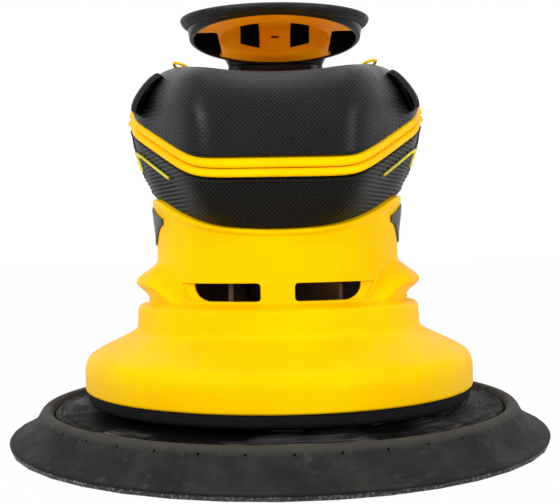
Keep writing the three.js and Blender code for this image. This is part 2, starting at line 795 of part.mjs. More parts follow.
const FAN = { outer: 29.6, low: 37.4, plate: 44.2, high: 45.6, blades: 12 };
function fan() {
  const hub = turned([
    [SHAFT.main + 0.1, FAN.low],
    [8, FAN.low],
    [8, FAN.plate],
    [FAN.outer, FAN.plate],
    [FAN.outer, FAN.high],
    [SHAFT.main + 0.1, FAN.high],
  ]);
  const blades = [];
  for (let i = 0; i < FAN.blades; i++) {
    const angle = (i / FAN.blades) * 2 * Math.PI;
    const middle = (FAN.outer + 14) / 2;
    const place = [middle * Math.cos(angle), middle * Math.sin(angle), (FAN.low + FAN.plate + 0.4) / 2];
    const blade = new THREE.BoxGeometry(FAN.outer - 14.6, 1.3, FAN.plate - FAN.low + 0.4).rotateZ(0.35);
    blades.push(solid(moved(blade, place, angle)));
  }
  return join([hub, ...blades]);
}
add("fan", fan(), BROWN);

const CORE = { low: 50.5, high: 74.5 };
add("rotor_core", tube(SHAFT.main + 0.1, 16.6, CORE.low, CORE.high), STEEL);
function stator() {
  const ring = tube(17.4, 27.4, CORE.low, CORE.high, 32);
  const slots = [];
  const count = 6;
  for (let i = 0; i < count; i++) {
    const angle = ((i + 0.5) / count) * 2 * Math.PI;
    slots.push(block(6, 5, 40, [19.6 * Math.cos(angle), 19.6 * Math.sin(angle), 62], angle));
  }
  return cut(ring, slots);
}
add("stator_core", stator(), STEEL);
add("lower_winding", tube(19, 26, CORE.low - 3.6, CORE.low - 0.3), COPPER);
add("upper_winding", tube(19, 26, CORE.high + 0.3, CORE.high + 3.6), COPPER);

add("bearing_bracket", turned([
  [6.4, 79.6],
  [29, 79.6],
  [29, 82],
  [13.4, 82],
  [13.4, 87.4],
  [TOP_BEARING.outer + 0.1, 87.4],
  [TOP_BEARING.outer + 0.1, 80.8],
  [6.4, 80.8],
]), ALUMINIUM);

// ---------- spindle lock button and spring ----------
function lockButton() {
  const { half, rise: high, back, face } = LOCK_BUTTON;
  const cap = runAlongY(roundedBar(half, high, LOCK.z), back, face);
  const stem = alongY([[0, 44.3], [2.4, 44.3], [2.4, back + 1], [0, back + 1]]).translate([0, 0, LOCK.z]);
  return cap.add(stem);
}
add("lock_button", lockButton(), BLACK);

// A round wire along a helix about the lock's axis, closed at both ends.
class Coil extends THREE.Curve {
  constructor(radius, start, length, turns) {
    super();
    Object.assign(this, { radius, start, length, turns });
  }

  getPoint(t, target = new THREE.Vector3()) {
    const angle = t * this.turns * 2 * Math.PI;
    return target.set(
      this.radius * Math.cos(angle),
      this.start + this.length * t,
      LOCK.z + this.radius * Math.sin(angle),
    );
  }
}
const wire = new THREE.Shape(circlePoints(0.35, 5).map(([x, y]) => new THREE.Vector2(x, y)));
add("lock_spring", solid(new THREE.ExtrudeGeometry(wire, {
  steps: 24,
  bevelEnabled: false,
  extrudePath: new Coil(3, 46.3, 3.6, 3),
})), STEEL);

casePlaces().forEach(([x, y], index) => {
  const screw = turned([
    [0, 9.3],
    [CASE_SCREW.head, 9.3],
    [CASE_SCREW.head, 10.9],
    [CASE_SCREW.shank, 10.9],
    [CASE_SCREW.shank, 22],
    [0, 22],
  ], 10);
  add(`case_screw_${index + 1}`, screw.translate([x, y, 0]), STEEL);
});

// ---------- switch, dial, board and cord gland at the rear ----------
add("control_board", block(34, 18, 1.6, [0, 45, 88.9]), BOARD);

const wheel = new THREE.CylinderGeometry(DIAL.radius, DIAL.radius, DIAL.half * 2, 24).rotateZ(Math.PI / 2);
add("speed_dial", solid(wheel.translate(0, DIAL.y, DIAL.z)), BLACK);

add("power_switch", join([
  block(SWITCH.width, SWITCH.length, 2, [0, SWITCH.y, DECK.top + 1.4]),
  block(6.6, 2, 1.2, [0, SWITCH.y - 3, DECK.top + 2.8]),
  block(5, 6, 6, [0, SWITCH.y, DECK.top - 2]),
]), BLACK);
add("switch_module", block(14, 20, 7, [0, 26, 93.2]), BLACK);

add("cord_gland", alongY([
  [GLAND.bore, -4],
  [4.3, -4],
  [4.3, 1.2],
  [5.8, 1.2],
  [5.8, 3],
  [4.9, 3.6],
  [4.2, 12],
  [GLAND.bore, 12],
], 20).translate([0, GLAND.y, GLAND.z]), RUBBER_BLACK);

// ---------- trim on the head's sides ----------
// A thin plate that lies on a side of the head. It runs from one outline angle to another (0 faces the
// front, 90 the side) and spans the front heights low(t) to high(t), with t from 0 to 1 along it.
function sidePlate(side, { from, to, low, high, lift, thick, steps = 10 }) {
  const place = (level, angle, out) => onOutline(levelAt(level), side * angle, -out);
  const rings = [];
  for (let i = 0; i <= steps; i++) {
    const t = i / steps;
    const angle = ((from + (to - from) * t) * Math.PI) / 180;
    const ring = [
      place(low(t), angle, lift),
      place(low(t), angle, lift + thick),
      place(high(t), angle, lift + thick),
      place(high(t), angle, lift),
    ];
    rings.push(side > 0 ? ring.reverse() : ring);
  }
  return loft(rings);
}

// A six-sided plate on the waist, widest at its upper third and pointed below.
function sideLabel(side) {
  const rings = [];
  const steps = 10;
  const radius = WAIST_RADIUS + 0.9;
  for (let i = 0; i <= steps; i++) {
    const across = (i / steps) * 2 - 1;
    const angle = ((90 + 28 * across) * Math.PI) / 180;
    const low = 53.5 + 5.5 * smooth(0.25, 1, Math.abs(across));
    const high = 65.4 - 4.6 * Math.abs(across);
    const corner = (out, z) => {
      const reach = radius + out;
      return [side * reach * Math.sin(angle), -reach * Math.cos(angle), z];
    };
    const ring = [corner(0, low), corner(0.5, low), corner(1.2, high), corner(0.7, high)];
    rings.push(side > 0 ? ring.reverse() : ring);
  }
  return loft(rings);
}

// The arched rubber strap that stands off the side of the grip. It draws in towards the front.
const STRAP = { front: -13, rear: 22, thick: 3 };
const STRAP_FRONT = [[39.9, 91], [39.3, 93.8], [37.5, 96.8], [35.3, 99.4], [33.4, 100.9], [32.6, 101.2]];
const STRAP_REAR = [[42, 92.8], [41.6, 96], [39.8, 99.4], [37.5, 102.1], [35.1, 104], [34.2, 104.5]];
function gripStrap(side) {
  const rings = [STRAP.front, -7, -2, 3, 10, STRAP.rear].map((y) => {
    const back = smooth(STRAP.front, 10, y);
    const outer = STRAP_FRONT.map(([x, z], i) => [
      x + (STRAP_REAR[i][0] - x) * back,
      z + (STRAP_REAR[i][1] - z) * back,
    ]);
    const inner = outer.map(([x, z]) => [x - STRAP.thick * 0.75, z - STRAP.thick * 0.45]).reverse();
    const ring = [...outer, ...inner].map(([x, z]) => [side * x, y, z]);
    return side > 0 ? ring.reverse() : ring;
  });
  const strap = loft(rings);
  const belowBand = loft([
    outline(LEVELS[3], -8),
    outline(levelAt(PALM_FOOT), -8),
    outline(levelAt(PALM_FOOT), -8, 0.3),
    outline(levelAt(PALM_FOOT), 8, 0.3),
  ]);
  return cut(strap, [loft(swollen(domeRings(0))), belowBand]);
}

// The oval ring on each shoulder, tipped towards the middle.
function shoulderRing(side) {
  const oval = (across, along) => circlePoints(1, 16).map(([x, y]) => [x * across, y * along]);
  const ring = raised(oval(3, 6.4), 0, 0.8).subtract(raised(oval(2.2, 5.6), -1, 2));
  const tip = new THREE.Matrix4().makeRotationY(side * -0.36);
  const geometry = geometryOf(ring).applyMatrix4(tip).translate(side * 26.5, -3, 106.9);
  return solid(geometry);
}

for (const [word, side] of [["right", 1], ["left", -1]]) {
  const long = sidePlate(side, {
    from: 36, to: 73, low: (t) => 64.5 + 0.6 * t, high: (t) => 65.2 + 0.6 * t, lift: 0.4, thick: 0.6,
  });
  const short = sidePlate(side, {
    from: 71, to: 73, low: () => 62.4, high: () => 65.2, lift: 0.4, thick: 0.6, steps: 2,
  });
  add(`accent_line_${word}`, long.add(short), YELLOW);
  add(`side_label_${word}`, sideLabel(side), LABEL_GREY);
  add(`grip_strap_${word}`, gripStrap(side), RUBBER_BLACK);
  add(`shoulder_ring_${word}`, shoulderRing(side), YELLOW);
}

export default root;
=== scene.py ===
import json
import math

import bmesh
import bpy
from mathutils import Matrix, Vector

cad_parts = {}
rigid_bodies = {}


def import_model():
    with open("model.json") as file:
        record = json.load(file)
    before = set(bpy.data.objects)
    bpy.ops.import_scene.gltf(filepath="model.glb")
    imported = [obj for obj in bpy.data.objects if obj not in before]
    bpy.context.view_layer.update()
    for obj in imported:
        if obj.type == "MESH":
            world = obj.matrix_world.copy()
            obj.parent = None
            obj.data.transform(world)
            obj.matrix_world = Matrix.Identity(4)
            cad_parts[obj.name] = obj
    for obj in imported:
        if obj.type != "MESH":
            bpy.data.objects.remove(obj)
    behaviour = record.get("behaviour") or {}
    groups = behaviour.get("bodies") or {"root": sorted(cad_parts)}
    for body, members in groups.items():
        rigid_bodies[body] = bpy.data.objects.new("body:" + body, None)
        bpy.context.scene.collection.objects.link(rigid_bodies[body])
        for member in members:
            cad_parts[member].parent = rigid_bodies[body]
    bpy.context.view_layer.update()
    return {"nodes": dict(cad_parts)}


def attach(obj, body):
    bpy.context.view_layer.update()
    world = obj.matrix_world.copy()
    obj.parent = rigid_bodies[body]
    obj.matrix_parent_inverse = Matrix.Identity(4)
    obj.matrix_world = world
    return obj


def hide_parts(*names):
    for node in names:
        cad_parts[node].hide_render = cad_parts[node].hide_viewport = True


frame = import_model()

# Looks of the palm-grip rotary polisher. Lengths in the shape code are millimetres, and become metres
# when a mesh is made. +Z is up, the front is -Y, the spindle axis is the Z axis.
MM = 0.001
SIDES = 256
EDGE_ANGLE = 38

for stray in list(bpy.data.objects):
    if stray.type in {"LIGHT", "CAMERA"} or (stray.type == "MESH" and stray.name not in frame["nodes"]):
        bpy.data.objects.remove(stray)

# ---------- driving dimensions, as in the CAD ----------
PAD_RADIUS = 75
PLATE_RADIUS = 63
SKIRT_RADIUS = 54.8
SKIRT_BOTTOM = 14
BAND_RADIUS = 40
BAND_TOP = 37
WAIST_RADIUS = 34.4
WALL = 2.4
RUBBER = 2
GAP = 0.3
PARTING = 71.6
PALM_FOOT = 73.7
GRIP = {"low": 56.8, "high": 69.2}
DECK = {"front": 98.4, "climb": 4.6, "shoulder": 3.2}
VENT = {"bottom": 38.8, "top": 43.5, "inner": 4.3, "outer": 21.6, "slant": 4.3}
HOOD = {"y": 35, "radius": 28, "lip": 30.9, "open": 120.8, "open_slope": -0.058, "lip_slope": 0.098}
NECK = {"y": 67.5, "half": 17, "deep": 6.5, "low": 99, "high": 119}
LINER = {"radius": 26.4, "well": 17.6}
DIAL = {"y": 49, "z": 97.4, "radius": 7, "half": 3}
SWITCH = {"y": 24, "width": 9, "length": 11, "travel": 5, "deck": 103}
GLAND = {"y": 77, "z": 93.9, "radius": 4.6, "bore": 3.2, "reach": 12}
LOCK = {"z": 17.8, "half": 7, "high": 2.8, "inner": 44.3, "back": 50.4, "face": 56}
STRAP = {"front": -13, "rear": 22, "thick": 3}


# ---------- small shape helpers ----------
def smooth(low, high, value):
    t = min(1.0, max(0.0, (value - low) / (high - low)))
    return t * t * (3 - 2 * t)


def signed_power(value, power):
    return math.copysign(abs(value) ** power, value)


def rounded(corners, steps=5):
    """Points of an open profile whose corners (a, b, radius) are rounded off."""
    points = []
    last = len(corners) - 1
    for i, (a, b, radius) in enumerate(corners):
        here = Vector((a, b))
        if i in (0, last) or radius == 0:
            points.append((a, b))
            continue
        before = Vector(corners[i - 1][:2]) - here
        after = Vector(corners[i + 1][:2]) - here
        reach = min(radius, before.length * 0.48, after.length * 0.48)
        start = here + before.normalized() * reach
        end = here + after.normalized() * reach
        for j in range(steps + 1):
            t = j / steps
            point = start * (1 - t) ** 2 + here * 2 * t * (1 - t) + end * t * t
            points.append((point.x, point.y))
    return points


def arc(middle, reach, start, end, steps):
    """Points of an arc about a middle, from one angle in degrees to another."""
    points = []
    for i in range(steps + 1):
        angle = math.radians(start + (end - start) * i / steps)
        points.append((middle[0] + reach[0] * math.cos(angle), middle[1] + reach[1] * math.sin(angle)))
    return points


def bar_outline(half, high, z, steps):
    """A level bar with round ends, half its length to each side and high above and below z."""
    flat = half - high
    right = arc((flat, z), (high, high), -90, 90, steps)
    return right + arc((-flat, z), (high, high), 90, 270, steps)


def spaced(points, step):
    """The same profile with no stretch longer than step."""
    result = [points[0]]
    for (a0, b0), (a1, b1) in zip(points, points[1:]):
        count = max(1, math.ceil(math.hypot(a1 - a0, b1 - b0) / step))
        for j in range(1, count + 1):
            t = j / count
            result.append((a0 + (a1 - a0) * t, b0 + (b1 - b0) * t))
    return result


def finish_mesh(mesh, sharp=EDGE_ANGLE):
    """Outward faces, smooth apart from edges sharper than an angle in degrees."""
    cleaner = bmesh.new()
    cleaner.from_mesh(mesh)
    bmesh.ops.recalc_face_normals(cleaner, faces=cleaner.faces)
    cleaner.to_mesh(mesh)
    cleaner.free()
    mesh.shade_smooth()
    mesh.set_sharp_from_angle(angle=math.radians(sharp))


def linked(name, data):
    """A new object in the scene."""
    piece = bpy.data.objects.new(name, data)
    bpy.context.scene.collection.objects.link(piece)
    return piece


def moved(piece, place, angle=0.0, axis="X"):
    """The piece with its mesh turned about an axis and then taken to a place in millimetres."""
    piece.data.transform(Matrix.Rotation(angle, 4, axis))
    piece.data.transform(Matrix.Translation([value * MM for value in place]))
    return piece


def make(name, vertices, faces, coordinates=None, sharp=EDGE_ANGLE):
    """A mesh object from millimetre vertices; coordinates are texture places in millimetres."""
    mesh = bpy.data.meshes.new(name)
    mesh.from_pydata([[value * MM for value in vertex] for vertex in vertices], [], faces)
    if coordinates:
        layer = mesh.uv_layers.new(name="surface")
        for loop in mesh.loops:
            layer.data[loop.index].uv = coordinates[loop.vertex_index]
    finish_mesh(mesh, sharp)
    return linked(name, mesh)


def loft(name, rings, wrap=False, coordinates=None, sharp=EDGE_ANGLE):
    """A body through rings of equally many points: a closed tube if wrap, otherwise with fans over its
    ends."""
    count = len(rings[0])
    vertices = [point for ring in rings for point in ring]
    faces = []
    levels = len(rings) if wrap else len(rings) - 1
    for level in range(levels):
        upper = (level + 1) % len(rings)
        for i in range(count):
            j = (i + 1) % count
            faces.append((level * count + i, level * count + j, upper * count + j, upper * count + i))
    if not wrap:
        for level in (0, len(rings) - 1):
            ring = rings[level]
            middle = len(vertices)
            vertices.append([sum(point[axis] for point in ring) / count for axis in range(3)])
            if coordinates:
                coordinates = coordinates + [coordinates[level * count]]
            for i in range(count):
                faces.append((level * count + i, level * count + (i + 1) % count, middle))
    return make(name, vertices, faces, coordinates, sharp)


def circle(radius, z, sides=SIDES):
    """A ring about the spindle axis that starts at the rear."""
    angles = [2 * math.pi * i / sides for i in range(sides)]
    return [[radius * math.sin(a), radius * math.cos(a), z] for a in angles]


def turned(name, profile, sides=SIDES):
    """A solid of revolution about Z, with texture places (round, along) in millimetres."""
    rings = [circle(radius, z, sides) for radius, z in profile]
    along = [0.0]
    for (r0, z0), (r1, z1) in zip(profile, profile[1:]):
        along.append(along[-1] + math.hypot(r1 - r0, z1 - z0))
    round_length = 2 * math.pi * max(radius for radius, _ in profile)
    coordinates = [(round_length * i / sides, distance) for distance in along for i in range(sides)]
    return loft(name, rings, True, coordinates)


def prism(name, outline_points, placed):
    """A closed prism: placed(point, end) gives the corner of an outline point at end 0 or 1."""
    count = len(outline_points)
    vertices = [placed(point, end) for end in (0, 1) for point in outline_points]
    faces = [tuple(range(count)), tuple(range(count, 2 * count))]
    for i in range(count):
        j = (i + 1) % count
        faces.append((i, j, count + j, count + i))
    return make(name, vertices, faces)


def rounded_block(name, size, place, radius):
    """A block with rounded edges, in the middle of its place."""
    body = bmesh.new()
    bmesh.ops.create_cube(body, size=1)
    bmesh.ops.scale(body, vec=Vector(size), verts=body.verts)
    bmesh.ops.bevel(body, geom=body.edges[:], offset=radius, segments=3, profile=0.5,
                    affect="EDGES", clamp_overlap=True)
    bmesh.ops.translate(body, vec=Vector(place), verts=body.verts)
    bmesh.ops.scale(body, vec=Vector((MM, MM, MM)), verts=body.verts)
    mesh = bpy.data.meshes.new(name)
    body.to_mesh(mesh)
    body.free()
    finish_mesh(mesh)
    return linked(name, mesh)


def carve(piece, tools, operation="DIFFERENCE"):
    """Cuts the tools from the piece, or joins or crosses it with them, and removes them."""
    for tool in tools:
        modifier = piece.modifiers.new("carve", "BOOLEAN")
        modifier.operation = operation
        modifier.solver = "MANIFOLD"
        modifier.object = tool
    graph = bpy.context.evaluated_depsgraph_get()
    result = bpy.data.meshes.new_from_object(piece.evaluated_get(graph))
    piece.modifiers.clear()
    old = piece.data
    piece.data = result
    bpy.data.meshes.remove(old)
    for tool in tools:
        bpy.data.objects.remove(tool)
    piece.data.shade_smooth()
    piece.data.set_sharp_from_angle(angle=math.radians(EDGE_ANGLE))
    return piece


def merged(name, pieces):
    """Several objects as one, each still its own shell."""
    with bpy.context.temp_override(active_object=pieces[0], object=pieces[0],
                                   selected_objects=pieces, selected_editable_objects=pieces):
        bpy.ops.object.join()
    pieces[0].name = name
    return pieces[0]


# ---------- the head's outline ----------
# Half width a, front reach bf, rear reach br and squareness n at a front height z; the line climbs by k for
# each millimetre towards the rear until it has gone the length run.
LEVELS = [
    {"z": 53, "k": 0.1, "a": WAIST_RADIUS, "bf": WAIST_RADIUS, "br": WAIST_RADIUS, "n": 2.0, "run": 23},
    {"z": 56.8, "k": 0.46, "a": 35.5, "bf": 35.3, "br": 37.5, "n": 2.05, "run": 23},
    {"z": 61.8, "k": 0.46, "a": 38.6, "bf": 37.8, "br": 49, "n": 2.4, "run": 27},
    {"z": 66.3, "k": 0.46, "a": 41, "bf": 40, "br": 63, "n": 2.65, "run": 34},
    {"z": 69.6, "k": 0.46, "a": 42, "bf": 41, "br": 74, "n": 2.8, "run": 47},
    {"z": PARTING, "k": 0.46, "a": 42, "bf": 41, "br": 77, "n": 2.8, "run": 47},
    {"z": PALM_FOOT, "k": 0.46, "a": 41.8, "bf": 41, "br": 77.6, "n": 2.8, "run": 47},
]
FLANK = {"kink": 20.6, "slope": 1.65, "corner": 2.6, "from": 54, "to": 64}


def rise(level, y):
    """How far a height line has climbed at a place along the head."""
    along = y + level["bf"]
    ease = 6
    bend = level["run"] - ease
    if along <= bend:
        return max(along, 0)
    return bend + ease * (1 - math.exp(-(along - bend) / ease))


def level_at(z):
    """The head's outline at a front height, on a smooth curve through the levels."""
    if z <= LEVELS[0]["z"]:
        return dict(LEVELS[0], z=z)
    if z >= LEVELS[-1]["z"]:
        return dict(LEVELS[-1], z=z)
    upper = next(i for i, level in enumerate(LEVELS) if level["z"] >= z)
    low, high = LEVELS[upper - 1], LEVELS[upper]
    before = LEVELS[max(upper - 2, 0)]
    after = LEVELS[min(upper + 1, len(LEVELS) - 1)]
    span = high["z"] - low["z"]
    t = (z - low["z"]) / span
    level = {"z": z}
    for key in ("k", "a", "bf", "br", "n", "run"):
        slope_low = (high[key] - before[key]) / (high["z"] - before["z"])
        slope_high = (after[key] - low[key]) / (after["z"] - low["z"])
        level[key] = (
            (2 * t ** 3 - 3 * t ** 2 + 1) * low[key]
            + (t ** 3 - 2 * t ** 2 + t) * span * slope_low
            + (3 * t ** 2 - 2 * t ** 3) * high[key]
            + (t ** 3 - t ** 2) * span * slope_high
        )
    return level


def softly(value, width):
    """The value above zero and nothing below it, with a soft corner of a given width."""
    return width * math.log1p(math.exp(value / width))


def front_reach(level, x, inset, along):
    """How far forward a level reaches: high on the head a flat front ends in a soft kink, with a straight
    flank behind it."""
    front = level["bf"] - inset
    plain = front * along
    past = softly(x - FLANK["kink"] * level["a"] / 42 + 0.56 * inset, 2)
    turning = softly(x - (level["a"] - inset - FLANK["corner"]), 0.7)
    flank = max(front - FLANK["slope"] * past - FLANK["corner"] * turning, 0.5)
    wide = max((front + 60) * along, 1e-6)
    kinked = (wide ** -4 + flank ** -4) ** -0.25
    return plain + (kinked - plain) * smooth(FLANK["from"], FLANK["to"], level["z"])


def on_outline(level, angle, inset=0.0, lift=0.0):
    """A place on a level, with angle 0 at the front and a positive angle on the +X side."""
    s, c = math.sin(angle), math.cos(angle)
    power = level["n"] if c > 0 else 2.1 + (level["n"] - 2.1) * (1 + c) ** 6
    x = (level["a"] - inset) * signed_power(s, 2 / power)
    along = abs(c) ** (2 / power)
    y = -front_reach(level, abs(x), inset, along) if c > 0 else (level["br"] - inset) * along
    return [x, y, level["z"] + lift + level["k"] * rise(level, y)]


def outline(level, inset=0.0, lift=0.0, sides=SIDES):
    """A whole level as a ring that starts at the rear."""
    return [on_outline(level, math.pi - 2 * math.pi * i / sides, inset, lift) for i in range(sides)]


def deck_height(x, y):
    """The deck climbs towards the rear, and towards both shoulders in front."""
    slope = DECK["front"] + DECK["climb"] * smooth(-30, 14, y)
    return slope + DECK["shoulder"] * smooth(10, 29, abs(x)) * (1 - smooth(4, 40, y))


def flat_places(rings):
    """Texture places for rings, seen from the front."""
    return [(point[0], point[2]) for ring in rings for point in ring]


def dome_rings(inset, sides=SIDES, steps=30):
    """Rings from the band up over the shoulder to the deck."""
    base = outline(level_at(PALM_FOOT), inset, 0.0, sides)
    rings = [base]
    for j in range(1, steps + 1):
        angle = j / steps * math.pi / 2
        up = math.sin(angle)
        turn = 1 - math.cos(angle)
        ring = []
        for x, y, z in base:
            corner = 0.28 + 0.12 * (1 - smooth(0, 36, abs(x))) if y < 0 else 0.26
            shrink = 1 - corner * turn
            px = x * (shrink - 0.07 * smooth(0, 0.4, up))
            py = y * shrink
            if y < 0:
                swell = 2.6 * math.exp(-((abs(x) - 27) / 9) ** 2) * smooth(0, 0.5, up)
                px += math.copysign(swell * 0.6, x)
                py -= swell
            ring.append([px, py, z + (deck_height(px, py) - inset - z) * up])
        rings.append(ring)
    crown = rings[-1]
    for share in (0.92, 0.84, 0.76, 0.66, 0.55, 0.42, 0.28, 0.12):
        ring = []
        for x, y, _ in crown:
            px = x * share
            py = y * share + 6 * (1 - share)
            ring.append([px, py, deck_height(px, py) - inset])
        rings.append(ring)
    return rings


def draped(rings):
    """Texture places for rings: across by x, along by the height of the foot and the way up from it."""
    count = len(rings[0])
    height = [point[2] for point in rings[0]]
    coordinates = []
    for level, ring in enumerate(rings):
        for i in range(count):
            if level:
                height[i] += math.dist(ring[i], rings[level - 1][i])
            coordinates.append((ring[i][0], height[i]))
    return coordinates


# ---------- materials ----------
def linear(red, green, blue):
    """A colour given in the usual 0 to 255 steps."""
    parts = []
    for value in (red, green, blue):
        value /= 255
        parts.append(value / 12.92 if value <= 0.04045 else ((value + 0.055) / 1.055) ** 2.4)
    return (*parts, 1.0)


def add_node(tree, kind, inputs=None, **settings):
    """A new node, each input of which is given a value or linked to another node's output."""
    made = tree.nodes.new(kind)
    for key, value in settings.items():
        setattr(made, key, value)
    for key, value in (inputs or {}).items():
        if hasattr(value, "is_linked"):
            tree.links.new(value, made.inputs[key])
        else:
            made.inputs[key].default_value = value
    return made


class Finish:
    """One material being built from nodes."""

    def __init__(self, name, roughness=0.5, metallic=0.0, **sockets):
        self.material = bpy.data.materials.new(name)
        self.material.use_nodes = True
        self.tree = self.material.node_tree
        self.shader = self.tree.nodes["Principled BSDF"]
        self.shader.inputs["Roughness"].default_value = roughness
        self.shader.inputs["Metallic"].default_value = metallic
        for socket, value in sockets.items():
            self.shader.inputs[socket.replace("_", " ")].default_value = value
        self.place = self.node("ShaderNodeTexCoord").outputs["Object"]

    def node(self, kind, inputs=None, **settings):
        return add_node(self.tree, kind, inputs, **settings)

    def math(self, operation, first, second=0.0):
        return self.node("ShaderNodeMath", {0: first, 1: second}, operation=operation).outputs[0]

    def wave(self, value, pitch, shape="COSINE"):
        return self.math(shape, self.math("MULTIPLY", value, 2 * math.pi / pitch))

    def mapped(self, value, low, high, start=0.0, end=1.0):
        inputs = {"Value": value, "From Min": low, "From Max": high, "To Min": start, "To Max": end}
        return self.node("ShaderNodeMapRange", inputs, interpolation_type="SMOOTHSTEP").outputs["Result"]

    def noise(self, millimetres, detail=3.0, roughness=0.55, vector=None):
        made = self.node("ShaderNodeTexNoise", {
            "Vector": vector or self.place, "Scale": 1000.0 / millimetres, "Detail": detail,
            "Roughness": roughness})
        return made.outputs["Fac"]

    def stretched(self, scale, vector=None):
        made = self.node("ShaderNodeMapping", {"Vector": vector or self.place, "Scale": scale})
        return made.outputs["Vector"]

    def mix(self, factor, first, second):
        """Two colours mixed. The node's colour sockets are its inputs 6 and 7 and its output 2."""
        made = self.node("ShaderNodeMix", {"Factor": factor, 6: first, 7: second}, data_type="RGBA")
        return made.outputs[2]

    def bump(self, height, depth, strength=1.0, below=None):
        inputs = {"Height": height, "Distance": depth * MM, "Strength": strength}
        if below is not None:
            inputs["Normal"] = below
        return self.node("ShaderNodeBump", inputs).outputs["Normal"]

    def soft_edges(self, radius):
        return self.node("ShaderNodeBevel", {"Radius": radius * MM}, samples=6).outputs["Normal"]

    def set(self, socket, value):
        self.tree.links.new(value, self.shader.inputs[socket])
        return self

    def axes(self):
        """The object's own X, Y and Z in metres."""
        return self.node("ShaderNodeSeparateXYZ", {"Vector": self.place}).outputs

    def surface_place(self):
        """The texture place in millimetres, as a whole and as its two parts."""
        made = self.node("ShaderNodeUVMap", uv_map="surface")
        split = self.node("ShaderNodeSeparateXYZ", {"Vector": made.outputs["UV"]})
        return made.outputs["UV"], split.outputs["X"], split.outputs["Y"]


def moulded(name):
    """Moulded plastic: a fine spark-eroded grain, a slight drift in colour and handling marks."""
    light, dark, roughness, grain, depth, edges, sockets = PLASTICS[name]
    light, dark = linear(*light), linear(*dark)
    finish = Finish(name, roughness, **sockets)
    drift = finish.noise(18, 4)
    speck = finish.noise(0.9, 2)
    colour = finish.mix(finish.mapped(drift, 0.35, 0.7), dark, light)
    colour = finish.mix(finish.mapped(speck, 0.62, 0.8, 0.0, 0.12), colour, dark)
    finish.set("Base Color", colour)
    rub = finish.noise(7, 5, 0.6)
    finish.set("Roughness", finish.mapped(rub, 0.3, 0.75, roughness - 0.06, roughness + 0.09))
    soft = finish.soft_edges(edges)
    finish.set("Normal", finish.bump(finish.noise(grain, 2), depth, 0.6, soft))
    return finish.material


# Light and dark colour, roughness, grain and its depth, edge radius and the shader's other sockets.
PLASTICS = {
    "yellow_plastic": ((255, 206, 0), (255, 196, 0), 0.42, 0.5, 0.02, 0.35,
                       {"Specular_IOR_Level": 0.1, "Specular_Tint": linear(255, 214, 60)}),
    # The liner is a deeper orange than the shell's yellow: painted shade for the hollow inside the hood.
    "liner_plastic_painted_shade": ((255, 178, 0), (250, 162, 0), 0.45, 0.6, 0.014, 0.35, {"Specular_IOR_Level": 0.08}),
    "trim_yellow": ((238, 224, 74), (226, 208, 48), 0.45, 0.4, 0.008, 0.15, {}),
    "black_plastic": ((14, 15, 16), (9, 9, 10), 0.34, 0.4, 0.01, 0.3, {"Specular_IOR_Level": 0.2}),
    "label_film": ((62, 63, 64), (52, 53, 54), 0.4, 0.3, 0.004, 0.1, {}),
    "fan_plastic": ((112, 84, 60), (84, 58, 42), 0.5, 0.6, 0.02, 0.35, {}),
}


def lip_rubber():
    finish = Finish("lip_rubber", 0.5, Specular_IOR_Level=0.2)
    dust = finish.noise(5, 6, 0.65)
    finish.set("Base Color", finish.mix(finish.mapped(dust, 0.45, 0.8, 0.0, 0.5), linear(17, 18, 19),
                                        linear(38, 39, 40)))
    finish.set("Roughness", finish.mapped(finish.noise(3, 4), 0.3, 0.8, 0.4, 0.62))
    finish.set("Normal", finish.bump(finish.noise(0.35, 3), 0.02, 0.5, finish.soft_edges(0.3)))
    return finish.material


def palm_rubber():
    """Moulded-on rubber with staggered raised diamonds that run together into fine ribs at the sides; the
    hollows between the diamonds are painted black as painted shade.
    """
    finish = Finish("palm_rubber", 0.36, Specular_IOR_Level=0.2)
    _, u, v = finish.surface_place()
    column = finish.wave(u, 1.15)
    row = finish.wave(v, 1.3)
    side = finish.math("ABSOLUTE", finish.axes()["X"])
    front = finish.mapped(side, 26 * MM, 38 * MM, 1.0, 0.0)
    spread = finish.math("ADD", finish.math("MULTIPLY", column, front), finish.math("SUBTRACT", 1.0, front))
    height = finish.mapped(finish.math("MULTIPLY", spread, row), 0.0, 0.75)
    wear = finish.noise(9, 5, 0.6)
    top = finish.mix(finish.mapped(wear, 0.4, 0.75), linear(19, 20, 21), linear(28, 29, 31))
    # Painted shade: the hollows between the diamonds are painted black, and only the raised tops take the
    # rubber's colour.
    finish.set("Base Color", finish.mix(height, linear(0, 0, 0), top))
    finish.set("Roughness", finish.mapped(wear, 0.3, 0.75, 0.3, 0.42))
    fine = finish.bump(finish.noise(0.25, 2), 0.02, 0.4)
    finish.set("Normal", finish.bump(height, 0.35, 1.0, fine))
    return finish.material


def ribbed_rubber():
    """Lower grip: ribs are in the mesh, with painted highlights on their crests and painted shade in their
    troughs; between them the rubber is finely dotted, with painted shade in the hollows between the dots.
    """
    finish = Finish("ribbed_rubber", 0.45, Specular_IOR_Level=0.14)
    _, u, v = finish.surface_place()
    pitch = 1.15
    height = finish.mapped(finish.math("MULTIPLY", finish.wave(u, pitch), finish.wave(v, pitch)), -0.3, 0.7)
    axes = finish.axes()
    ribs = finish.mapped(finish.math("ABSOLUTE", axes["X"]), 19 * MM, 27 * MM)
    # Painted shade: the hollows between the dots are painted nearly black.
    dots = finish.mix(height, linear(1, 1, 1), linear(21, 22, 23))
    # Painted highlight and painted shade on the ribs: their crests are painted light grey and their troughs
    # nearly black.
    peak = finish.wave(axes["Z"], RIB_PITCH * MM, "SINE")
    rib_painted_light = finish.mix(finish.mapped(peak, -0.4, 0.9), linear(3, 3, 3), linear(62, 63, 64))
    finish.set("Base Color", finish.mix(ribs, dots, rib_painted_light))
    fine = finish.bump(finish.noise(0.3, 2), 0.02, 0.4)
    flat = finish.math("MULTIPLY", height, finish.math("SUBTRACT", 1.0, ribs))
    finish.set("Normal", finish.bump(flat, 0.12, 1.0, fine))
    return finish.material


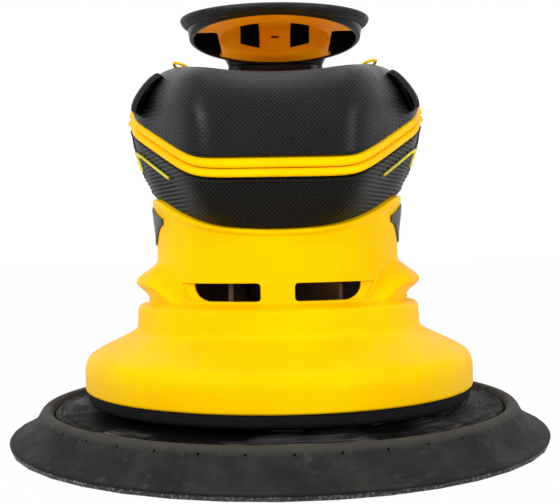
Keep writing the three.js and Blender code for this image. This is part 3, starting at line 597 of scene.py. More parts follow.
def pad_rubber():
    """Moulded pad: matt, with dusty blotches, a painted highlight on the top of its ridge, painted shade
    along its foot, and scuffs.
    """
    finish = Finish("pad_rubber", 0.72, Specular_IOR_Level=0.15)
    blotch = finish.noise(14, 6, 0.62)
    cloud = finish.noise(4, 5, 0.6)
    base = finish.mix(finish.mapped(blotch, 0.38, 0.68), linear(24, 24, 24), linear(44, 43, 41))
    base = finish.mix(finish.mapped(cloud, 0.54, 0.76, 0.0, 0.6), base, linear(72, 70, 66))
    height = finish.axes()["Z"]
    # Painted highlight: the top of the ridge is painted paler by height.
    ridge = finish.mapped(height, 7.4 * MM, 9.4 * MM)
    base = finish.mix(finish.math("MULTIPLY", ridge, 0.75), base, linear(66, 64, 58))
    # Painted shade: the lowest edge of the pad is painted darker by height.
    foot = finish.mapped(height, 2.2 * MM, 1.2 * MM)
    finish.set("Base Color", finish.mix(finish.math("MULTIPLY", foot, 0.8), base, linear(16, 16, 16)))
    finish.set("Roughness", finish.mapped(cloud, 0.3, 0.8, 0.62, 0.85))
    broad = finish.bump(finish.noise(2.2, 4), 0.12, 0.5)
    finish.set("Normal", finish.bump(finish.noise(0.4, 3), 0.05, 0.6, broad))
    return finish.material


def plate_enamel():
    """Dark satin plate with scratches that run round it near the seal."""
    finish = Finish("plate_enamel", 0.6, Specular_IOR_Level=0.05)
    uv, _, _ = finish.surface_place()
    arcs = finish.noise(600, 3, 0.5, finish.stretched((0.035, 7.0, 1.0), uv))
    patch = finish.noise(16, 3)
    worn = finish.math("MULTIPLY", finish.mapped(arcs, 0.54, 0.64), finish.mapped(patch, 0.46, 0.62))
    finish.set("Base Color", finish.mix(worn, linear(6, 6, 7), linear(150, 150, 152)))
    finish.set("Roughness", finish.mapped(finish.noise(5, 5), 0.3, 0.8, 0.55, 0.7))
    finish.set("Normal", finish.bump(arcs, 0.03, 0.4, finish.soft_edges(0.2)))
    return finish.material


def seal_felt():
    """Dense dust seal: short upright fibres with dust between them."""
    finish = Finish("seal_felt", 0.8, Specular_IOR_Level=0.1)
    uv, _, _ = finish.surface_place()
    fibres = finish.noise(260, 4, 0.6, finish.stretched((1.0, 0.12, 1.0), uv))
    clump = finish.noise(3.5, 5, 0.65)
    colour = finish.mix(finish.mapped(fibres, 0.35, 0.7), linear(12, 12, 13), linear(26, 26, 27))
    finish.set("Base Color", finish.mix(finish.mapped(clump, 0.56, 0.8, 0.0, 0.5), colour,
                                        linear(50, 50, 49)))
    rough = finish.bump(fibres, 0.25, 0.8)
    finish.set("Normal", finish.bump(clump, 0.3, 0.7, rough))
    return finish.material


def hook_face():
    """Hook side of the pad: rows of tiny hooks on a woven tape."""
    finish = Finish("hook_face", 0.9, Sheen_Weight=0.3)
    dots = finish.node("ShaderNodeTexVoronoi", {"Vector": finish.place, "Scale": 1100.0}).outputs["Distance"]
    height = finish.mapped(dots, 0.55, 0.1)
    drift = finish.noise(9, 4)
    low = finish.mix(finish.mapped(drift, 0.35, 0.7), linear(24, 24, 25), linear(38, 38, 39))
    finish.set("Base Color", finish.mix(height, low, linear(92, 92, 92)))
    finish.set("Normal", finish.bump(height, 0.4, 0.9))
    return finish.material


def worked_metal(name, light, dark, roughness, across=6.0):
    """Turned or ground metal, with fine tool marks and smears of oil."""
    finish = Finish(name, roughness, 1.0)
    marks = finish.noise(1.4, 4, 0.6, finish.stretched((1.0, 1.0, across)))
    smear = finish.noise(6, 5, 0.6)
    finish.set("Base Color", finish.mix(finish.mapped(smear, 0.35, 0.7), dark, light))
    finish.set("Roughness", finish.mapped(marks, 0.3, 0.75, roughness - 0.1, roughness + 0.15))
    finish.set("Normal", finish.bump(marks, 0.01, 0.4, finish.soft_edges(0.15)))
    return finish.material


def lamination_steel():
    """A stack of thin steel sheets seen from the side."""
    finish = Finish("lamination_steel", 0.45, 1.0)
    sheets = finish.wave(finish.axes()["Z"], 0.5 * MM, "SINE")
    tint = finish.mapped(sheets, -0.6, 0.6)
    finish.set("Base Color", finish.mix(tint, linear(70, 72, 76), linear(128, 130, 134)))
    finish.set("Normal", finish.bump(sheets, 0.05, 0.6))
    return finish.material


def wound_copper():
    """Enamelled wire laid side by side round the motor."""
    finish = Finish("wound_copper", 0.35, 0.9)
    turns = finish.wave(finish.axes()["Z"], 0.6 * MM, "SINE")
    varnish = finish.noise(4, 4)
    colour = finish.mix(finish.mapped(varnish, 0.35, 0.7), linear(120, 58, 26), linear(176, 98, 46))
    # Painted shade: the troughs between the turns of wire are painted dark.
    finish.set("Base Color", finish.mix(finish.mapped(turns, -0.9, 0.0), linear(60, 28, 14), colour))
    finish.set("Normal", finish.bump(turns, 0.1, 0.8))
    return finish.material


def circuit_board():
    """Green board: square patches in two greens, some of them raised a little."""
    finish = Finish("circuit_board", 0.45)
    cells = finish.node("ShaderNodeTexVoronoi", {"Vector": finish.place, "Scale": 420.0},
                        distance="CHEBYCHEV").outputs["Color"]
    tone = finish.node("ShaderNodeSeparateColor", {"Color": cells}).outputs["Red"]
    finish.set("Base Color", finish.mix(finish.mapped(tone, 0.5, 0.6), linear(26, 84, 48),
                                        linear(44, 116, 66)))
    finish.set("Normal", finish.bump(tone, 0.1, 0.6))
    return finish.material


# ---------- pad, plate and seal ----------
def pad(name):
    """The flared pad, with pin holes round the outside of its ridge."""
    profile = spaced(rounded([
        (60, 1.0, 0), (74.6, 1.0, 0.3), (PAD_RADIUS, 1.4, 0.4), (74.7, 2.1, 0.5), (71.7, 3.1, 2),
        (69.2, 4.9, 2),
        (67.7, 6.9, 2), (66.8, 8.7, 1.0), (66.0, 9.5, 1.0), (65.1, 9.6, 0.8), (64.2, 9.3, 0.5),
        (63.6, 8.4, 0.3), (63.3, 8.0, 0.2), (63.3, 5.4, 0), (60, 5.4, 0),
    ]), 0.8)
    body = turned(name, profile, 360)
    for vertex in body.data.vertices:
        z = vertex.co.z / MM
        if z < 3.2:
            angle = math.atan2(vertex.co.y, vertex.co.x)
            ragged = math.sin(angle * 83) * 0.4 + math.sin(angle * 191 + 1.3) * 0.35 + math.sin(angle * 47)
            vertex.co.z += 0.07 * ragged * smooth(3.2, 1.6, z) * MM
    holes = []
    pins = 40
    for i in range(pins):
        tool = turned("hole", [(0.01, -1.2), (0.32, -1.2), (0.32, 1.2), (0.01, 1.2)], 10)
        moved(tool, (67.3, 0, 8.0), math.radians(62), "Y")
        tool.data.transform(Matrix.Rotation(2 * math.pi * (i + 0.3) / pins, 4, "Z"))
        holes.append(tool)
    return carve(body, [merged("holes", holes)])


def pad_plate(name):
    """The plate, with a fine groove near its edge and a step near the seal."""
    return turned(name, rounded([
        (7.3, 5.4, 0), (PLATE_RADIUS, 5.4, 0), (PLATE_RADIUS, 8.1, 0.5), (62.3, 8.6, 0.5),
        (61.4, 8.6, 0.2), (61.2, 8.35, 0.1),
        (60.4, 8.35, 0.1), (60.2, 8.6, 0.2), (46, 8.6, 0.2), (45.8, 8.9, 0.2), (30, 8.9, 0.4),
        (29, 8.6, 0.4), (7.3, 8.6, 0),
    ]), 256)


def seal(name):
    """The dust seal, with a tufted lower edge."""
    body = turned(name, spaced(rounded([
        (46.3, SKIRT_BOTTOM, 0), (46.3, 10.7, 0.3), (53.5, 10.7, 0.8), (54.1, 11.6, 0.8), (54.1, 13.6, 0.3),
        (53.7, SKIRT_BOTTOM, 0.2), (50, SKIRT_BOTTOM, 0),
    ]), 0.45), 420)
    for vertex in body.data.vertices:
        angle = math.atan2(vertex.co.y, vertex.co.x)
        z = vertex.co.z / MM
        tuft = math.sin(angle * 211) * 0.5 + math.sin(angle * 89 + 2) * 0.6 + math.sin(angle * 37 + z)
        vertex.co.z += 0.04 * tuft * smooth(12.6, 11, z) * MM
    return body


# ---------- lower shell ----------
EAVE = [(37.6, 36.6), (38.8, 37.1), (40.4, 38.0), (41.4, 38.9), (42.2, 39.8), (43.0, 40.4), (43.8, 40.5),
        (44.4, 40.1), (45.3, 39.1), (46.2, 37.9), (47.4, 36.2), (48.6, 34.8), (49.6, 34.4)]


def eave_radius(z):
    """How far out the eave over a side vent comes at a height."""
    for (z0, r0), (z1, r1) in zip(EAVE, EAVE[1:]):
        if z0 <= z <= z1:
            t = (z - z0) / (z1 - z0)
            return r0 + (r1 - r0) * t
    return 0.0


def body_ring(radius, z):
    """A ring of the lower body, pushed out over the side vents, with a soft groove beside each strut."""
    ring = []
    for x, y, _ in circle(1.0, z):
        off_side = math.degrees(math.atan2(abs(y), abs(x)))
        edge = 44.5 - 1.8 * (z - 38.6)
        out = radius
        if 37.6 < z < 49.6:
            share = 1 - smooth(edge - 6, edge, off_side)
            out = radius + max(0.0, eave_radius(z) - radius) * share
            fade = smooth(38.2, 39.2, z) * (1 - smooth(47.2, 49.2, z))
            out -= 0.4 * fade * math.exp(-((off_side - edge - 1.4) / 1.3) ** 2)
        ring.append([x * out, y * out, z])
    return ring


def vent_outline(side):
    """One exhaust window: small round corners inboard, one long round corner outboard below."""
    bottom, top = VENT["bottom"], VENT["top"]
    inner, outer, slant = VENT["inner"], VENT["outer"], VENT["slant"]
    corner = 1.0
    reach = top - bottom - 0.5
    points = [(outer, top)]
    points += arc((inner + corner, top - corner), (corner, corner), 90, 180, 6)
    points += arc((inner + corner, bottom + corner), (corner, corner), 180, 270, 6)
    points += arc((outer - slant, bottom + reach), (slant, reach), 270, 360, 8)
    return [(side * x, z) for x, z in points]


def through(name, points, start, end):
    """A tool that runs along Y."""
    return prism(name, points, lambda point, side: [point[0], end if side else start, point[1]])


def scoop(side, facing):
    """The ramp that leads into the outboard end of a window."""
    top, bottom = VENT["top"], VENT["bottom"]
    corners = []
    for z, outboard in ((bottom, 22.6), (top, 25.2)):
        corners += [
            [side * outboard, facing * 45, z],
            [side * outboard, facing * (math.sqrt(WAIST_RADIUS ** 2 - outboard ** 2) + 0.02), z],
            [side * 17.4, facing * 27.6, z],
            [side * 17.4, facing * 45, z],
        ]
    faces = [(0, 1, 2, 3), (4, 5, 6, 7), (0, 1, 5, 4), (1, 2, 6, 5), (2, 3, 7, 6), (3, 0, 4, 7)]
    return make("scoop", corners, faces)


def lower_shell(name):
    """Skirt, vent band, waist and the lower half of the head, with a ledge that the rubber sits on."""
    skirt = spaced(rounded([
        (SKIRT_RADIUS - WALL, SKIRT_BOTTOM, 0), (54.4, SKIRT_BOTTOM, 0.4), (SKIRT_RADIUS, 14.4, 0.4),
        (SKIRT_RADIUS, 20.6, 2.0), (53.8, 23.2, 1.6), (50.2, 25.3, 2.5), (42.5, 28.9, 2.2),
        (40.3, 30.3, 1.6),
        (BAND_RADIUS, 36.2, 0.5), (39.5, BAND_TOP, 0.6), (38.6, 37.3, 0.6), (35.0, 38.3, 0.5),
        (34.6, 39.0, 0.5), (WAIST_RADIUS, 53, 0),
    ], 6), 0.6)
    rings = [body_ring(radius, z) for radius, z in skirt if z < 52.9]
    inside = RUBBER + GAP
    rings += [outline(level_at(z), lip_out) for z, lip_out in (
        (53, 0), (53.6, 0), (54.2, 0), (54.8, 0), (55.1, 0.05), (55.4, 0.0), (55.6, -0.2), (55.85, -0.35),
        (56.1, -0.4), (56.4, -0.32), (56.6, -0.1), (56.67, 0.5), (56.7, inside))]
    rings += [outline(level_at(z), inside) for z in (58, 60, 62, 64, 66.3, 68, 69.3)]
    rings += [outline(level_at(z), out) for z, out in (
        (69.35, 0.6), (69.45, 0.1), (69.65, -0.2), (70.0, -0.45), (70.4, -0.5), (70.8, -0.4),
        (71.1, -0.15), (71.3, 0.2), (71.38, 0.8))]
    rings += [outline(level_at(z), inside + WALL) for z in (71.3, 69, 66, 62, 58)]
    rings += [outline(level_at(53), WALL)]
    rings += [circle(r, z) for r, z in ((32, 50), (32, 39), (37.4, 35.2), (37.4, 29), (52.4, 20))]
    body = loft(name, rings, True, flat_places(rings))
    tools = []
    for side in (1, -1):
        window = vent_outline(side)
        tools += [through("window", window, -46, -20), through("window", window, 20, 46)]
        tools.append(rounded_block("side_window", (14, 24, 2.5), (side * 37, 0, 39.9), 0.9))
        tools += [scoop(side, -1), scoop(side, 1)]
    hole = bar_outline(LOCK["half"] + GAP, LOCK["high"] + GAP, LOCK["z"], 8)
    tools.append(through("button_hole", hole, 48, 60))
    tools.append(gland_tool())
    return carve(body, tools)


def gland_tool():
    """A round rod where the cord gland goes through the shells."""
    reach, radius = GLAND["reach"], GLAND["radius"] + GAP
    tool = turned("gland_tool", [(0.01, -reach), (radius, -reach), (radius, reach), (0.01, reach)], 48)
    return moved(tool, (0, GLAND["y"], GLAND["z"]), math.radians(90))


# ---------- lower grip ----------
RIB_PITCH = 1.06
RIB_DEPTH = 0.3


def lower_grip(name):
    """Moulded-on rubber under the band, ribbed on both flanks."""
    sides = 900
    steps = 64
    rings = []
    for j in range(steps + 1):
        share = j / steps
        front_z = GRIP["low"] + (GRIP["high"] - GRIP["low"]) * share
        edge = 0.9 * (1 - smooth(0, 0.07, share)) + 0.8 * smooth(0.94, 1.0, share) ** 2
        lip = -0.25 * math.exp(-((front_z - 68.5) / 0.45) ** 2)
        ring = outline(level_at(front_z), edge + lip, 0.0, sides)
        for point in ring:
            flank = smooth(20, 27, abs(point[0])) * smooth(0.03, 0.12, share)
            below_line = 1 - smooth(66, 66.7, front_z)
            wave = 0.5 - 0.5 * math.sin(2 * math.pi * point[2] / RIB_PITCH)
            rear = 1 - smooth(16, 30, point[1])
            sink = RIB_DEPTH * flank * below_line * rear * wave
            reach = math.hypot(point[0], point[1])
            point[0] -= point[0] / reach * sink
            point[1] -= point[1] / reach * sink
        rings.append(ring)
    rings += [outline(level_at(z), RUBBER, 0.0, sides) for z in (GRIP["high"], 66, 62, 56.9)]
    return loft(name, rings, True, flat_places(rings), 60)


# ---------- upper shell and upper grip ----------
def deck_region(grow):
    """A block over the part of the head where the yellow shell shows, grown by a gap."""
    half = 25 + grow
    front = -6 - grow
    rear = 30 - grow
    wide, far = 62, 120
    low, high = 70, 130
    corner = 12
    middle = front + corner
    points = [(-half, rear)]
    points += arc((corner - half, middle), (corner, corner), 180, 270, 12)
    points += arc((half - corner, middle), (corner, corner), 270, 360, 12)
    points += [(half, rear), (wide, rear), (wide, far), (-wide, far), (-wide, rear)]
    return prism("deck_region", points, lambda point, end: [*point, high if end else low])


def bar_ring(half, deep, y, z, sides=96):
    """A level ring of the neck, a rectangle with round corners."""
    ring = []
    for i in range(sides):
        angle = i / sides * 2 * math.pi
        ring.append([half * signed_power(math.sin(angle), 2 / 3.6),
                     y - deep * signed_power(math.cos(angle), 2 / 3.6), z])
    return ring


def upper_shell(name):
    """The upper bead of the yellow band, and the deck behind the palm rubber."""
    bead = loft("bead", [outline(level_at(z), out) for z, out in (
        (PARTING, 3.0), (PARTING, 0.9), (71.7, 0.3), (71.95, -0.05), (72.3, -0.25), (72.75, -0.3),
        (73.2, -0.2), (73.55, 0.0), (73.8, 0.3), (73.9, 0.8), (73.9, 3.0))], True)
    deck = loft("deck", dome_rings(0.0))
    carve(deck, [deck_region(0)], "INTERSECT")
    tools = [
        loft("inside", dome_rings(WALL + RUBBER + GAP, 128, 12)),
        loft("socket", [bar_ring(NECK["half"] + GAP, NECK["deep"] + GAP, NECK["y"], z) for z in (85, 130)]),
        rounded_block("dial_slot", (DIAL["half"] * 2 + 0.8, DIAL["radius"] * 2 + 0.8, 14),
                      (0, DIAL["y"], 104), 0.8),
        rounded_block("switch_slot", (6, 12, 12), (0, SWITCH["y"] + SWITCH["travel"] / 2, 101), 1.0),
        gland_tool(),
    ]
    carve(deck, tools)
    return merged(name, [deck, bead])


def upper_grip(name):
    """The palm rubber: its foot is rounded where it meets the band."""
    base = level_at(PALM_FOOT)
    foot = [outline(base, inset, lift, 300) for inset, lift in ((2.2, 0.1), (0.7, 0.1), (0.15, 0.5))]
    rings = foot + dome_rings(0.0, 300, 44)[1:]
    body = loft("palm", rings, False, draped(rings))
    inner = moved(loft("inner", dome_rings(RUBBER, 128, 16)), (0, 0, -0.2))
    below = loft("below", [outline(base, -5, lift, 128) for lift in (-12, 0.05)])
    carve(body, [inner, deck_region(GAP), below])
    body.name = name
    return body


# ---------- hood and neck ----------
def hood_ring(radius, z, slope, sides=160):
    """A round ring about the hood's middle that tilts by a slope."""
    ring = []
    for i in range(sides):
        angle = i / sides * 2 * math.pi
        y = -radius * math.cos(angle)
        ring.append([radius * math.sin(angle), HOOD["y"] + y, z + slope * y])
    return ring


def neck_ring(wider, deeper, forward, z):
    """A level ring of the neck, grown and moved forward."""
    return bar_ring(NECK["half"] + wider, NECK["deep"] + deeper, NECK["y"] - forward, z)


def hood_shell(name):
    """The hollow hood, and the shoulder that joins it to the neck."""
    lip, opening = HOOD["lip_slope"], HOOD["open_slope"]
    radius, low = HOOD["radius"], HOOD["open"]
    outside = loft(name, [hood_ring(*ring) for ring in (
        (radius - 0.5, low - 0.1, opening), (radius, low + 0.3, opening), (28.3, 123, 0.03),
        (28.6, 125.2, lip), (28.2, 127.2, lip), (26.8, 128.2, lip), (24, 128.9, lip), (20, 129.4, lip),
        (14, 130.2, lip), (7, 130.5, lip), (2, 130.6, lip))])
    back = loft("back", [neck_ring(*ring) for ring in (
        (0, 0, 0, NECK["high"]), (0.6, 0, 0.5, 120.6), (1.5, 0, 1.2, 122), (2.3, 0.7, 2.8, 123.2),
        (2.5, 1, 4.4, 124.6), (2.2, 0.8, 6, 125.6), (1.2, 0, 7.6, 126.2))])
    carve(outside, [back], "UNION")
    inside = loft("inside", [hood_ring(*ring) for ring in (
        (radius - 1.3, low - 2, opening), (radius - 1.3, 123.8, 0.05), (26.4, 126.2, lip),
        (13, 128.3, lip))])
    duct = loft("duct", [neck_ring(-WALL, -WALL, forward, z) for forward, z in (
        (0, 115), (1.5, 122), (9, 124.4))])
    return carve(outside, [inside, duct])


def hood_rim(name):
    """The rubber lip round the hood."""
    section = [(28.75, 124.8), (29.4, 125.0), (30.0, 125.5), (30.5, 126.1), (30.85, 126.8),
               (HOOD["lip"], 127.3), (30.7, 127.7), (30.2, 128.0), (29.5, 128.2), (28.9, 128.1),
               (28.75, 127.7)]
    return loft(name, [hood_ring(radius, z, HOOD["lip_slope"], 200) for radius, z in section], True)


def hood_liner(name):
    """The bowl inside the hood. Its ledge follows the opening and its ceiling follows the lip."""
    ledge, well = HOOD["open"] + 0.35, LINER["well"]
    opening, lip = HOOD["open_slope"], HOOD["lip_slope"]
    radius = LINER["radius"]
    bowl = loft(name, [hood_ring(out, ledge + up, slope) for out, up, slope in (
        (1, 6.1, lip), (well - 4, 5.9, lip), (well - 1.6, 5.5, lip), (well - 0.5, 4.6, lip * 0.9),
        (well - 0.2, 3, lip * 0.4), (well, 0.7, opening), (well + 0.3, 0.15, opening),
        (well + 0.8, 0, opening), (radius, 0, opening), (radius + 0.15, 0.3, opening),
        (radius, 1.3, opening), (well + 1.6, 1.4, opening), (well + 1.0, 4.9, lip * 0.9),
        (well - 1.2, 6.4, lip), (1, 6.9, lip))])
    y = HOOD["y"]
    tools = [rounded_block("slot", (2.6, 6, 0.8), (0, y + 17, ledge + 5.3), 0.2)]
    for side in (-1, 1):
        x = side * 8.6
        sill = 122.9
        window = [(x - 3.3, sill - 0.04 * x), (x + 3.3, sill + 0.04 * x), (x + 3.1, 140), (x - 3.1, 140)]
        tools.append(through("window", window, y - 13, y + 22))
        tools.append(rounded_block("side_window", (9.4, 27, 14), (side * 23.0, y + 4.6, ledge), 1.2))
    carve(bowl, tools)
    boss = turned("boss", rounded([(0.01, 0, 0), (1.7, 0, 0.4), (1.9, 3.4, 0), (0.01, 3.4, 0)]), 32)
    return merged(name, [bowl, moved(boss, (0, y + 20.4, ledge - 1.5))])


def neck(name):
    """The hollow neck, slightly wider at the top, with two ribs in front."""
    low, high = NECK["low"], NECK["high"] - GAP
    rings = []
    steps = 16
    for i in range(steps + 1):
        z = low + (high - low) * i / steps
        rings.append(neck_ring(0.24 * smooth(112, 119, z), 0, 0, z))
    rings += [neck_ring(-WALL, -WALL, 0, z) for z in (high, low)]
    pieces = [loft(name, rings, True)]
    face = NECK["y"] - NECK["deep"] - 0.05
    for side in (1, -1):
        pieces.append(rounded_block("rib", (0.9, 0.9, 17), (side * 12.2, face, 109.4), 0.3))
    return merged(name, pieces)


# ---------- trim on the head ----------
def side_strip(name, side, start, end, low, high, lift, thick, steps=48):
    """A thin strip on a side of the head, from one angle to another, with a rounded outer face."""
    rings = []
    for i in range(steps + 1):
        t = i / steps
        angle = side * math.radians(start + (end - start) * t)
        ring = []
        for share, out in ((0, 0), (0, 0.7), (0.12, 0.95), (0.5, 1.0), (0.88, 0.95), (1, 0.7), (1, 0)):
            z = low(t) + (high(t) - low(t)) * share
            ring.append(on_outline(level_at(z), angle, -(lift + thick * out)))
        rings.append(ring)
    return loft(name, rings)


def accent_line(name, side):
    """The thin line on a front flank: a long run and a short upright behind it."""
    long = side_strip("long", side, 38, 75, lambda t: 64.6 + 0.6 * t, lambda t: 65.2 + 0.6 * t, 0.1, 0.6)
    short = side_strip("short", side, 73.2, 75, lambda t: 62.4, lambda t: 65.4, 0.1, 0.6, 6)
    return merged(name, [long, short])


def side_label(name, side):
    """A film patch on the waist with a raised middle, widest above and pointed below."""
    steps = 60
    rings = []
    radius = WAIST_RADIUS + 0.05
    for i in range(steps + 1):
        across = i / steps * 2 - 1
        angle = math.radians(90 + 28 * across)
        low = 53.5 + 5.5 * smooth(0.25, 1, abs(across))
        high = 65.4 - 4.6 * abs(across)
        ring = []
        for share, out in ((0, 0), (0.02, 0.75), (0.06, 0.95), (0.3, 1.0), (0.7, 1.0), (0.94, 0.95),
                           (0.98, 0.75), (1, 0)):
            z = low + (high - low) * share
            reach = radius + 0.5 * out + 0.95 * smooth(55, 65.4, z)
            ring.append([side * reach * math.sin(angle), -reach * math.cos(angle), z])
        rings.append(ring)
    return loft(name, rings)


def grip_strap(name, side):
    """The arched rubber strap that stands off the side of the grip: it draws in towards the front, and
    both of its ends are rounded."""
    front = [(39.9, 91.0), (39.8, 92.2), (39.3, 93.8), (38.5, 95.3), (37.5, 96.8), (36.4, 98.2),
             (35.3, 99.4), (34.3, 100.3), (33.4, 100.9), (32.6, 101.2)]
    rear = [(42.0, 92.8), (42.0, 94.2), (41.6, 96.0), (40.8, 97.8), (39.8, 99.4), (38.7, 100.8),
            (37.5, 102.1), (36.2, 103.2), (35.1, 104.0), (34.2, 104.5)]
    length = STRAP["rear"] - STRAP["front"]
    rings = []
    steps = 60
    for i in range(steps + 1):
        t = i / steps
        y = STRAP["front"] + length * t
        back = smooth(STRAP["front"], 10, y)
        outer = [(x0 + (x1 - x0) * back, z0 + (z1 - z0) * back)
                 for (x0, z0), (x1, z1) in zip(front, rear)]
        end = min(t, 1 - t) * length
        near = 0.7 * (1 - math.sqrt(max(0.0, 1 - (1 - min(1, end / 1.4)) ** 2)))
        face = [[side * (x - near), y, z - near * 0.4] for x, z in outer]
        back_face = [[side * (x - STRAP["thick"] * 0.75 + near), y, z - STRAP["thick"] * 0.45 + near * 0.4]
                     for x, z in reversed(outer)]
        rings.append(face + back_face)
    return loft(name, rings)


def shoulder_ring(name, side):
    """A slim oval ring let into the shoulder."""
    wire = 0.42
    rings = []
    for i in range(64):
        turn = i / 64 * 2 * math.pi
        ring = []
        for j in range(12):
            angle = j / 12 * 2 * math.pi
            across = 2.6 + wire * math.cos(angle)
            along = 6.0 + wire * math.cos(angle)
            ring.append([across * math.cos(turn), along * math.sin(turn), 0.4 + wire * math.sin(angle)])
        rings.append(ring)
    x, y = 26.5, -3
    return moved(loft(name, rings, True), (side * x, y, deck_height(x, y) - 0.6), side * -0.36, "Y")


# ---------- controls ----------
def speed_dial(name):
    """A thumb wheel with a milled edge."""
    sides = 144
    rings = []
    half = DIAL["half"]
    for x, shrink in ((-half, 0.7), (-2.7, 0.1), (-2.2, 0), (2.2, 0), (2.7, 0.1), (half, 0.7)):
        ring = []
        for i in range(sides):
            angle = i / sides * 2 * math.pi
            tooth = 0.28 * smooth(0.2, 0.8, 0.5 + 0.5 * math.sin(angle * 36))
            radius = DIAL["radius"] - 0.02 - shrink - tooth * (1 if shrink < 0.5 else 0)
            ring.append([x, DIAL["y"] + radius * math.cos(angle), DIAL["z"] + radius * math.sin(angle)])
        rings.append(ring)
    return loft(name, rings)


def power_switch(name):
    """The slider: a cap with a ridge and three grip ribs, on a stem through the deck."""
    y, deck = SWITCH["y"], SWITCH["deck"]
    cap = rounded_block("cap", (SWITCH["width"], SWITCH["length"], 2), (0, y, deck + 1.4), 0.7)
    stem = rounded_block("stem", (5, 6, 6), (0, y, deck - 2), 0.3)
    ridge = rounded_block("ridge", (6.6, 2, 1.6), (0, y - 3, deck + 2.6), 0.5)
    ribs = [rounded_block("rib", (6.4, 0.6, 0.6), (0, y + 0.4 + 1.3 * i, deck + 2.45), 0.2)
            for i in range(3)]
    return merged(name, [cap, stem, ridge, *ribs])


def lock_button(name):
    """The spindle lock's button, a bar with round ends on a round stem."""
    rings = []
    for y, shrink in ((LOCK["back"], 0), (54.6, 0), (55.4, 0.15), (55.9, 0.6), (LOCK["face"], 1.1)):
        points = bar_outline(LOCK["half"] - shrink, LOCK["high"] - shrink, LOCK["z"], 12)
        rings.append([[x, y, z] for x, z in points])
    inner = LOCK["inner"]
    stem = turned("stem", [(0.01, inner), (2.4, inner), (2.4, 51), (0.01, 51)], 32)
    return merged(name, [loft("cap", rings), moved(stem, (0, 0, LOCK["z"]), math.radians(-90))])


def cord_gland(name):
    """The rubber gland, with a collar and shallow flexing rings."""
    bore, reach = GLAND["bore"], GLAND["reach"]
    profile = [(bore, -4, 0), (4.3, -4, 0.2), (4.3, 1.2, 0.2), (5.8, 1.2, 0.4), (5.8, 3, 0.5),
               (4.9, 3.6, 0.3)]
    for i in range(4):
        start = 4.4 + 1.9 * i
        outer = 4.85 - 0.13 * i
        profile += [(outer, start, 0.2), (outer, start + 0.9, 0.2), (outer - 0.45, start + 1.1, 0.2),
                    (outer - 0.45, start + 1.6, 0.2)]
    profile += [(4.2, 11.7, 0.2), (3.9, reach, 0.2), (bore, reach, 0)]
    body = turned(name, rounded(profile, 3), 64)
    return moved(body, (0, GLAND["y"], GLAND["z"]), math.radians(-90))


# ---------- putting the pieces on their bodies ----------
YELLOW = moulded("yellow_plastic")
BLACK = moulded("black_plastic")
LIP = lip_rubber()
STEEL = worked_metal("steel", linear(190, 192, 196), linear(150, 152, 156), 0.32)
ALUMINIUM = worked_metal("aluminium", linear(206, 207, 208), linear(178, 179, 181), 0.42, 2.0)
LAMINATION = lamination_steel()
COPPER = wound_copper()
TRIM = moulded("trim_yellow")
LABEL = moulded("label_film")

# Each piece's shape, name, body, CAD node, slot and material.
PIECES = [
    (pad, "pad_body", "spindle_set", "backing_pad", "pad_rubber", pad_rubber()),
    (pad_plate, "plate_disc", "spindle_set", "pad_plate", "black_plastic", plate_enamel()),
    (seal, "dust_seal", "housing", "seal_ring", "grip_rubber", seal_felt()),
    (lower_shell, "lower_body", "housing", "lower_shell", "yellow_shell", YELLOW),
    (lower_grip, "lower_overmould", "housing", "lower_grip", "grip_rubber", ribbed_rubber()),
    (upper_shell, "upper_body", "housing", "upper_shell", "yellow_shell", YELLOW),
    (upper_grip, "palm_overmould", "housing", "upper_grip", "grip_rubber", palm_rubber()),
    (hood_shell, "hood_body", "housing", "hood_shell", "black_plastic", BLACK),
    (hood_rim, "hood_lip", "housing", "hood_rim", "grip_rubber", LIP),
    # The bowl's deeper orange is painted shade for the inside of the hood.
    (hood_liner, "hood_bowl", "housing", "hood_liner", "yellow_trim", moulded("liner_plastic_painted_shade")),
    (neck, "neck_tube", "housing", "neck", "black_plastic", BLACK),
    (speed_dial, "dial_wheel", "dial", "speed_dial", "black_plastic", BLACK),
    (power_switch, "switch_slider", "switch", "power_switch", "black_plastic", BLACK),
    (lock_button, "lock_key", "spindle_lock", "lock_button", "black_plastic", BLACK),
    (cord_gland, "cord_sleeve", "housing", "cord_gland", "grip_rubber", LIP),
]
# The same for pieces on both sides of the head, without the word for the side.
SIDE_PIECES = [
    (accent_line, "accent_strip", "accent_line", "yellow_trim", TRIM),
    (side_label, "side_patch", "side_label", "label", LABEL),
    (grip_strap, "strap", "grip_strap", "grip_rubber", LIP),
    (shoulder_ring, "shoulder_oval", "shoulder_ring", "yellow_trim", YELLOW),
]


def fit(piece, body, node, material):
    """Puts a finished piece on its body, in the place of its CAD node."""
    piece.data.materials.clear()
    piece.data.materials.append(material)
    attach(piece, body)
    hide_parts(node)


for build, piece_name, body_name, node_name, slot_name, look in PIECES:
    fit(build(piece_name), body_name, node_name, look)
for word, side in (("right", 1), ("left", -1)):
    for build, piece_name, node_name, slot_name, look in SIDE_PIECES:
        fit(build(f"{piece_name}_{word}", side), "housing", f"{node_name}_{word}", look)

# CAD nodes that stay as they are, apart from their looks. The rest of them are steel.
KEPT = {
    "pad_face": hook_face(), "fan": moulded("fan_plastic"), "control_board": circuit_board(),
    "switch_module": BLACK,
    "lower_winding": COPPER, "upper_winding": COPPER, "stator_core": LAMINATION, "rotor_core": LAMINATION,
    "gear_case": ALUMINIUM, "motor_plate": ALUMINIUM, "bearing_bracket": ALUMINIUM,
}
for node_name, node in frame["nodes"].items():
    for material_slot in node.material_slots:
        material_slot.material = KEPT.get(node_name, STEEL)

# ---------- floor, light and camera ----------
WHITE = (1.0, 1.0, 1.0, 1.0)
FLOOR_GREY = (0.86, 0.86, 0.86, 1.0)
FLOOR_GLOW = 0.975
WORLD_LIGHT = 0.4
CAMERA = {"place": (0.0007, -0.255, 0.0513), "lens": 56.57, "sensor": 36, "roll": -0.85}
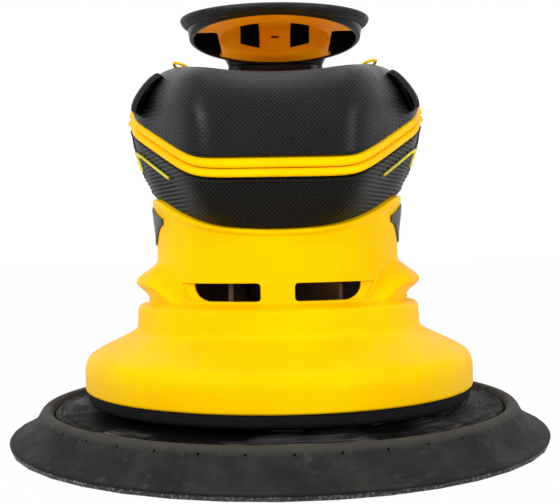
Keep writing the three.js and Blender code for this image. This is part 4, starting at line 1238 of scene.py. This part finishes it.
# Each lamp's name, place, target, size in metres and power in watts.
LAMPS = [
    ("key", (-0.5, -0.6, 0.5), (0, 0, 0.06), (0.4, 0.4), 4.6),
    ("fill", (0.6, -0.5, 0.3), (0, 0, 0.06), (0.35, 0.4), 2.9),
    ("top", (0.0, 0.05, 0.85), (0, 0, 0.08), (0.5, 0.5), 1.4),
]


def floor():
    """A pale matt floor that the camera sees as nearly white, apart from the shadow."""
    bpy.ops.mesh.primitive_plane_add(size=6, location=(0, 0, -0.0002))
    plane = bpy.context.object
    plane.name = "studio_floor"
    material = bpy.data.materials.new("floor_white")
    material.use_nodes = True
    tree = material.node_tree
    tree.nodes.clear()
    matt = add_node(tree, "ShaderNodeBsdfDiffuse", {"Color": FLOOR_GREY})
    glow = add_node(tree, "ShaderNodeEmission", {"Color": WHITE, "Strength": 1.0})
    path = add_node(tree, "ShaderNodeLightPath").outputs
    share = add_node(tree, "ShaderNodeMath", {0: path["Is Camera Ray"], 1: FLOOR_GLOW}, operation="MULTIPLY")
    blend = add_node(tree, "ShaderNodeMixShader", {
        0: share.outputs[0], 1: matt.outputs[0], 2: glow.outputs[0]})
    add_node(tree, "ShaderNodeOutputMaterial", {"Surface": blend.outputs[0]})
    plane.data.materials.append(material)


def world():
    """White where it is seen directly, in a mirror or through glass, and dimmer where it only lights."""
    studio = bpy.data.worlds.new("studio")
    bpy.context.scene.world = studio
    studio.use_nodes = True
    tree = studio.node_tree
    background = tree.nodes["Background"]
    background.inputs["Color"].default_value = WHITE
    path = add_node(tree, "ShaderNodeLightPath").outputs
    seen = path["Is Camera Ray"]
    for ray in ("Is Glossy Ray", "Is Transmission Ray"):
        seen = add_node(tree, "ShaderNodeMath", {0: seen, 1: path[ray]}, operation="MAXIMUM").outputs[0]
    level = add_node(tree, "ShaderNodeMapRange", {"Value": seen, "To Min": WORLD_LIGHT, "To Max": 1.0})
    tree.links.new(level.outputs["Result"], background.inputs["Strength"])


def softbox(name, place, target, size, power):
    """A rectangular lamp that faces its target."""
    lamp = bpy.data.lights.new(name, "AREA")
    lamp.shape = "RECTANGLE"
    lamp.size, lamp.size_y = size
    lamp.energy = power
    piece = linked(name, lamp)
    piece.location = place
    aim = Vector(target) - Vector(place)
    piece.rotation_euler = aim.to_track_quat("-Z", "Y").to_euler()


def camera():
    """A level camera in front of the object, rolled by less than a degree."""
    lens = bpy.data.cameras.new("camera")
    lens.lens = CAMERA["lens"]
    lens.sensor_width = CAMERA["sensor"]
    lens.clip_start = 0.01
    piece = linked("camera", lens)
    piece.matrix_world = (
        Matrix.Translation(CAMERA["place"])
        @ Matrix.Rotation(math.radians(90), 4, "X")
        @ Matrix.Rotation(math.radians(CAMERA["roll"]), 4, "Z")
    )
    bpy.context.scene.camera = piece


floor()
world()
for settings in LAMPS:
    softbox(*settings)
camera()
bpy.context.scene.view_settings.view_transform = "Standard"
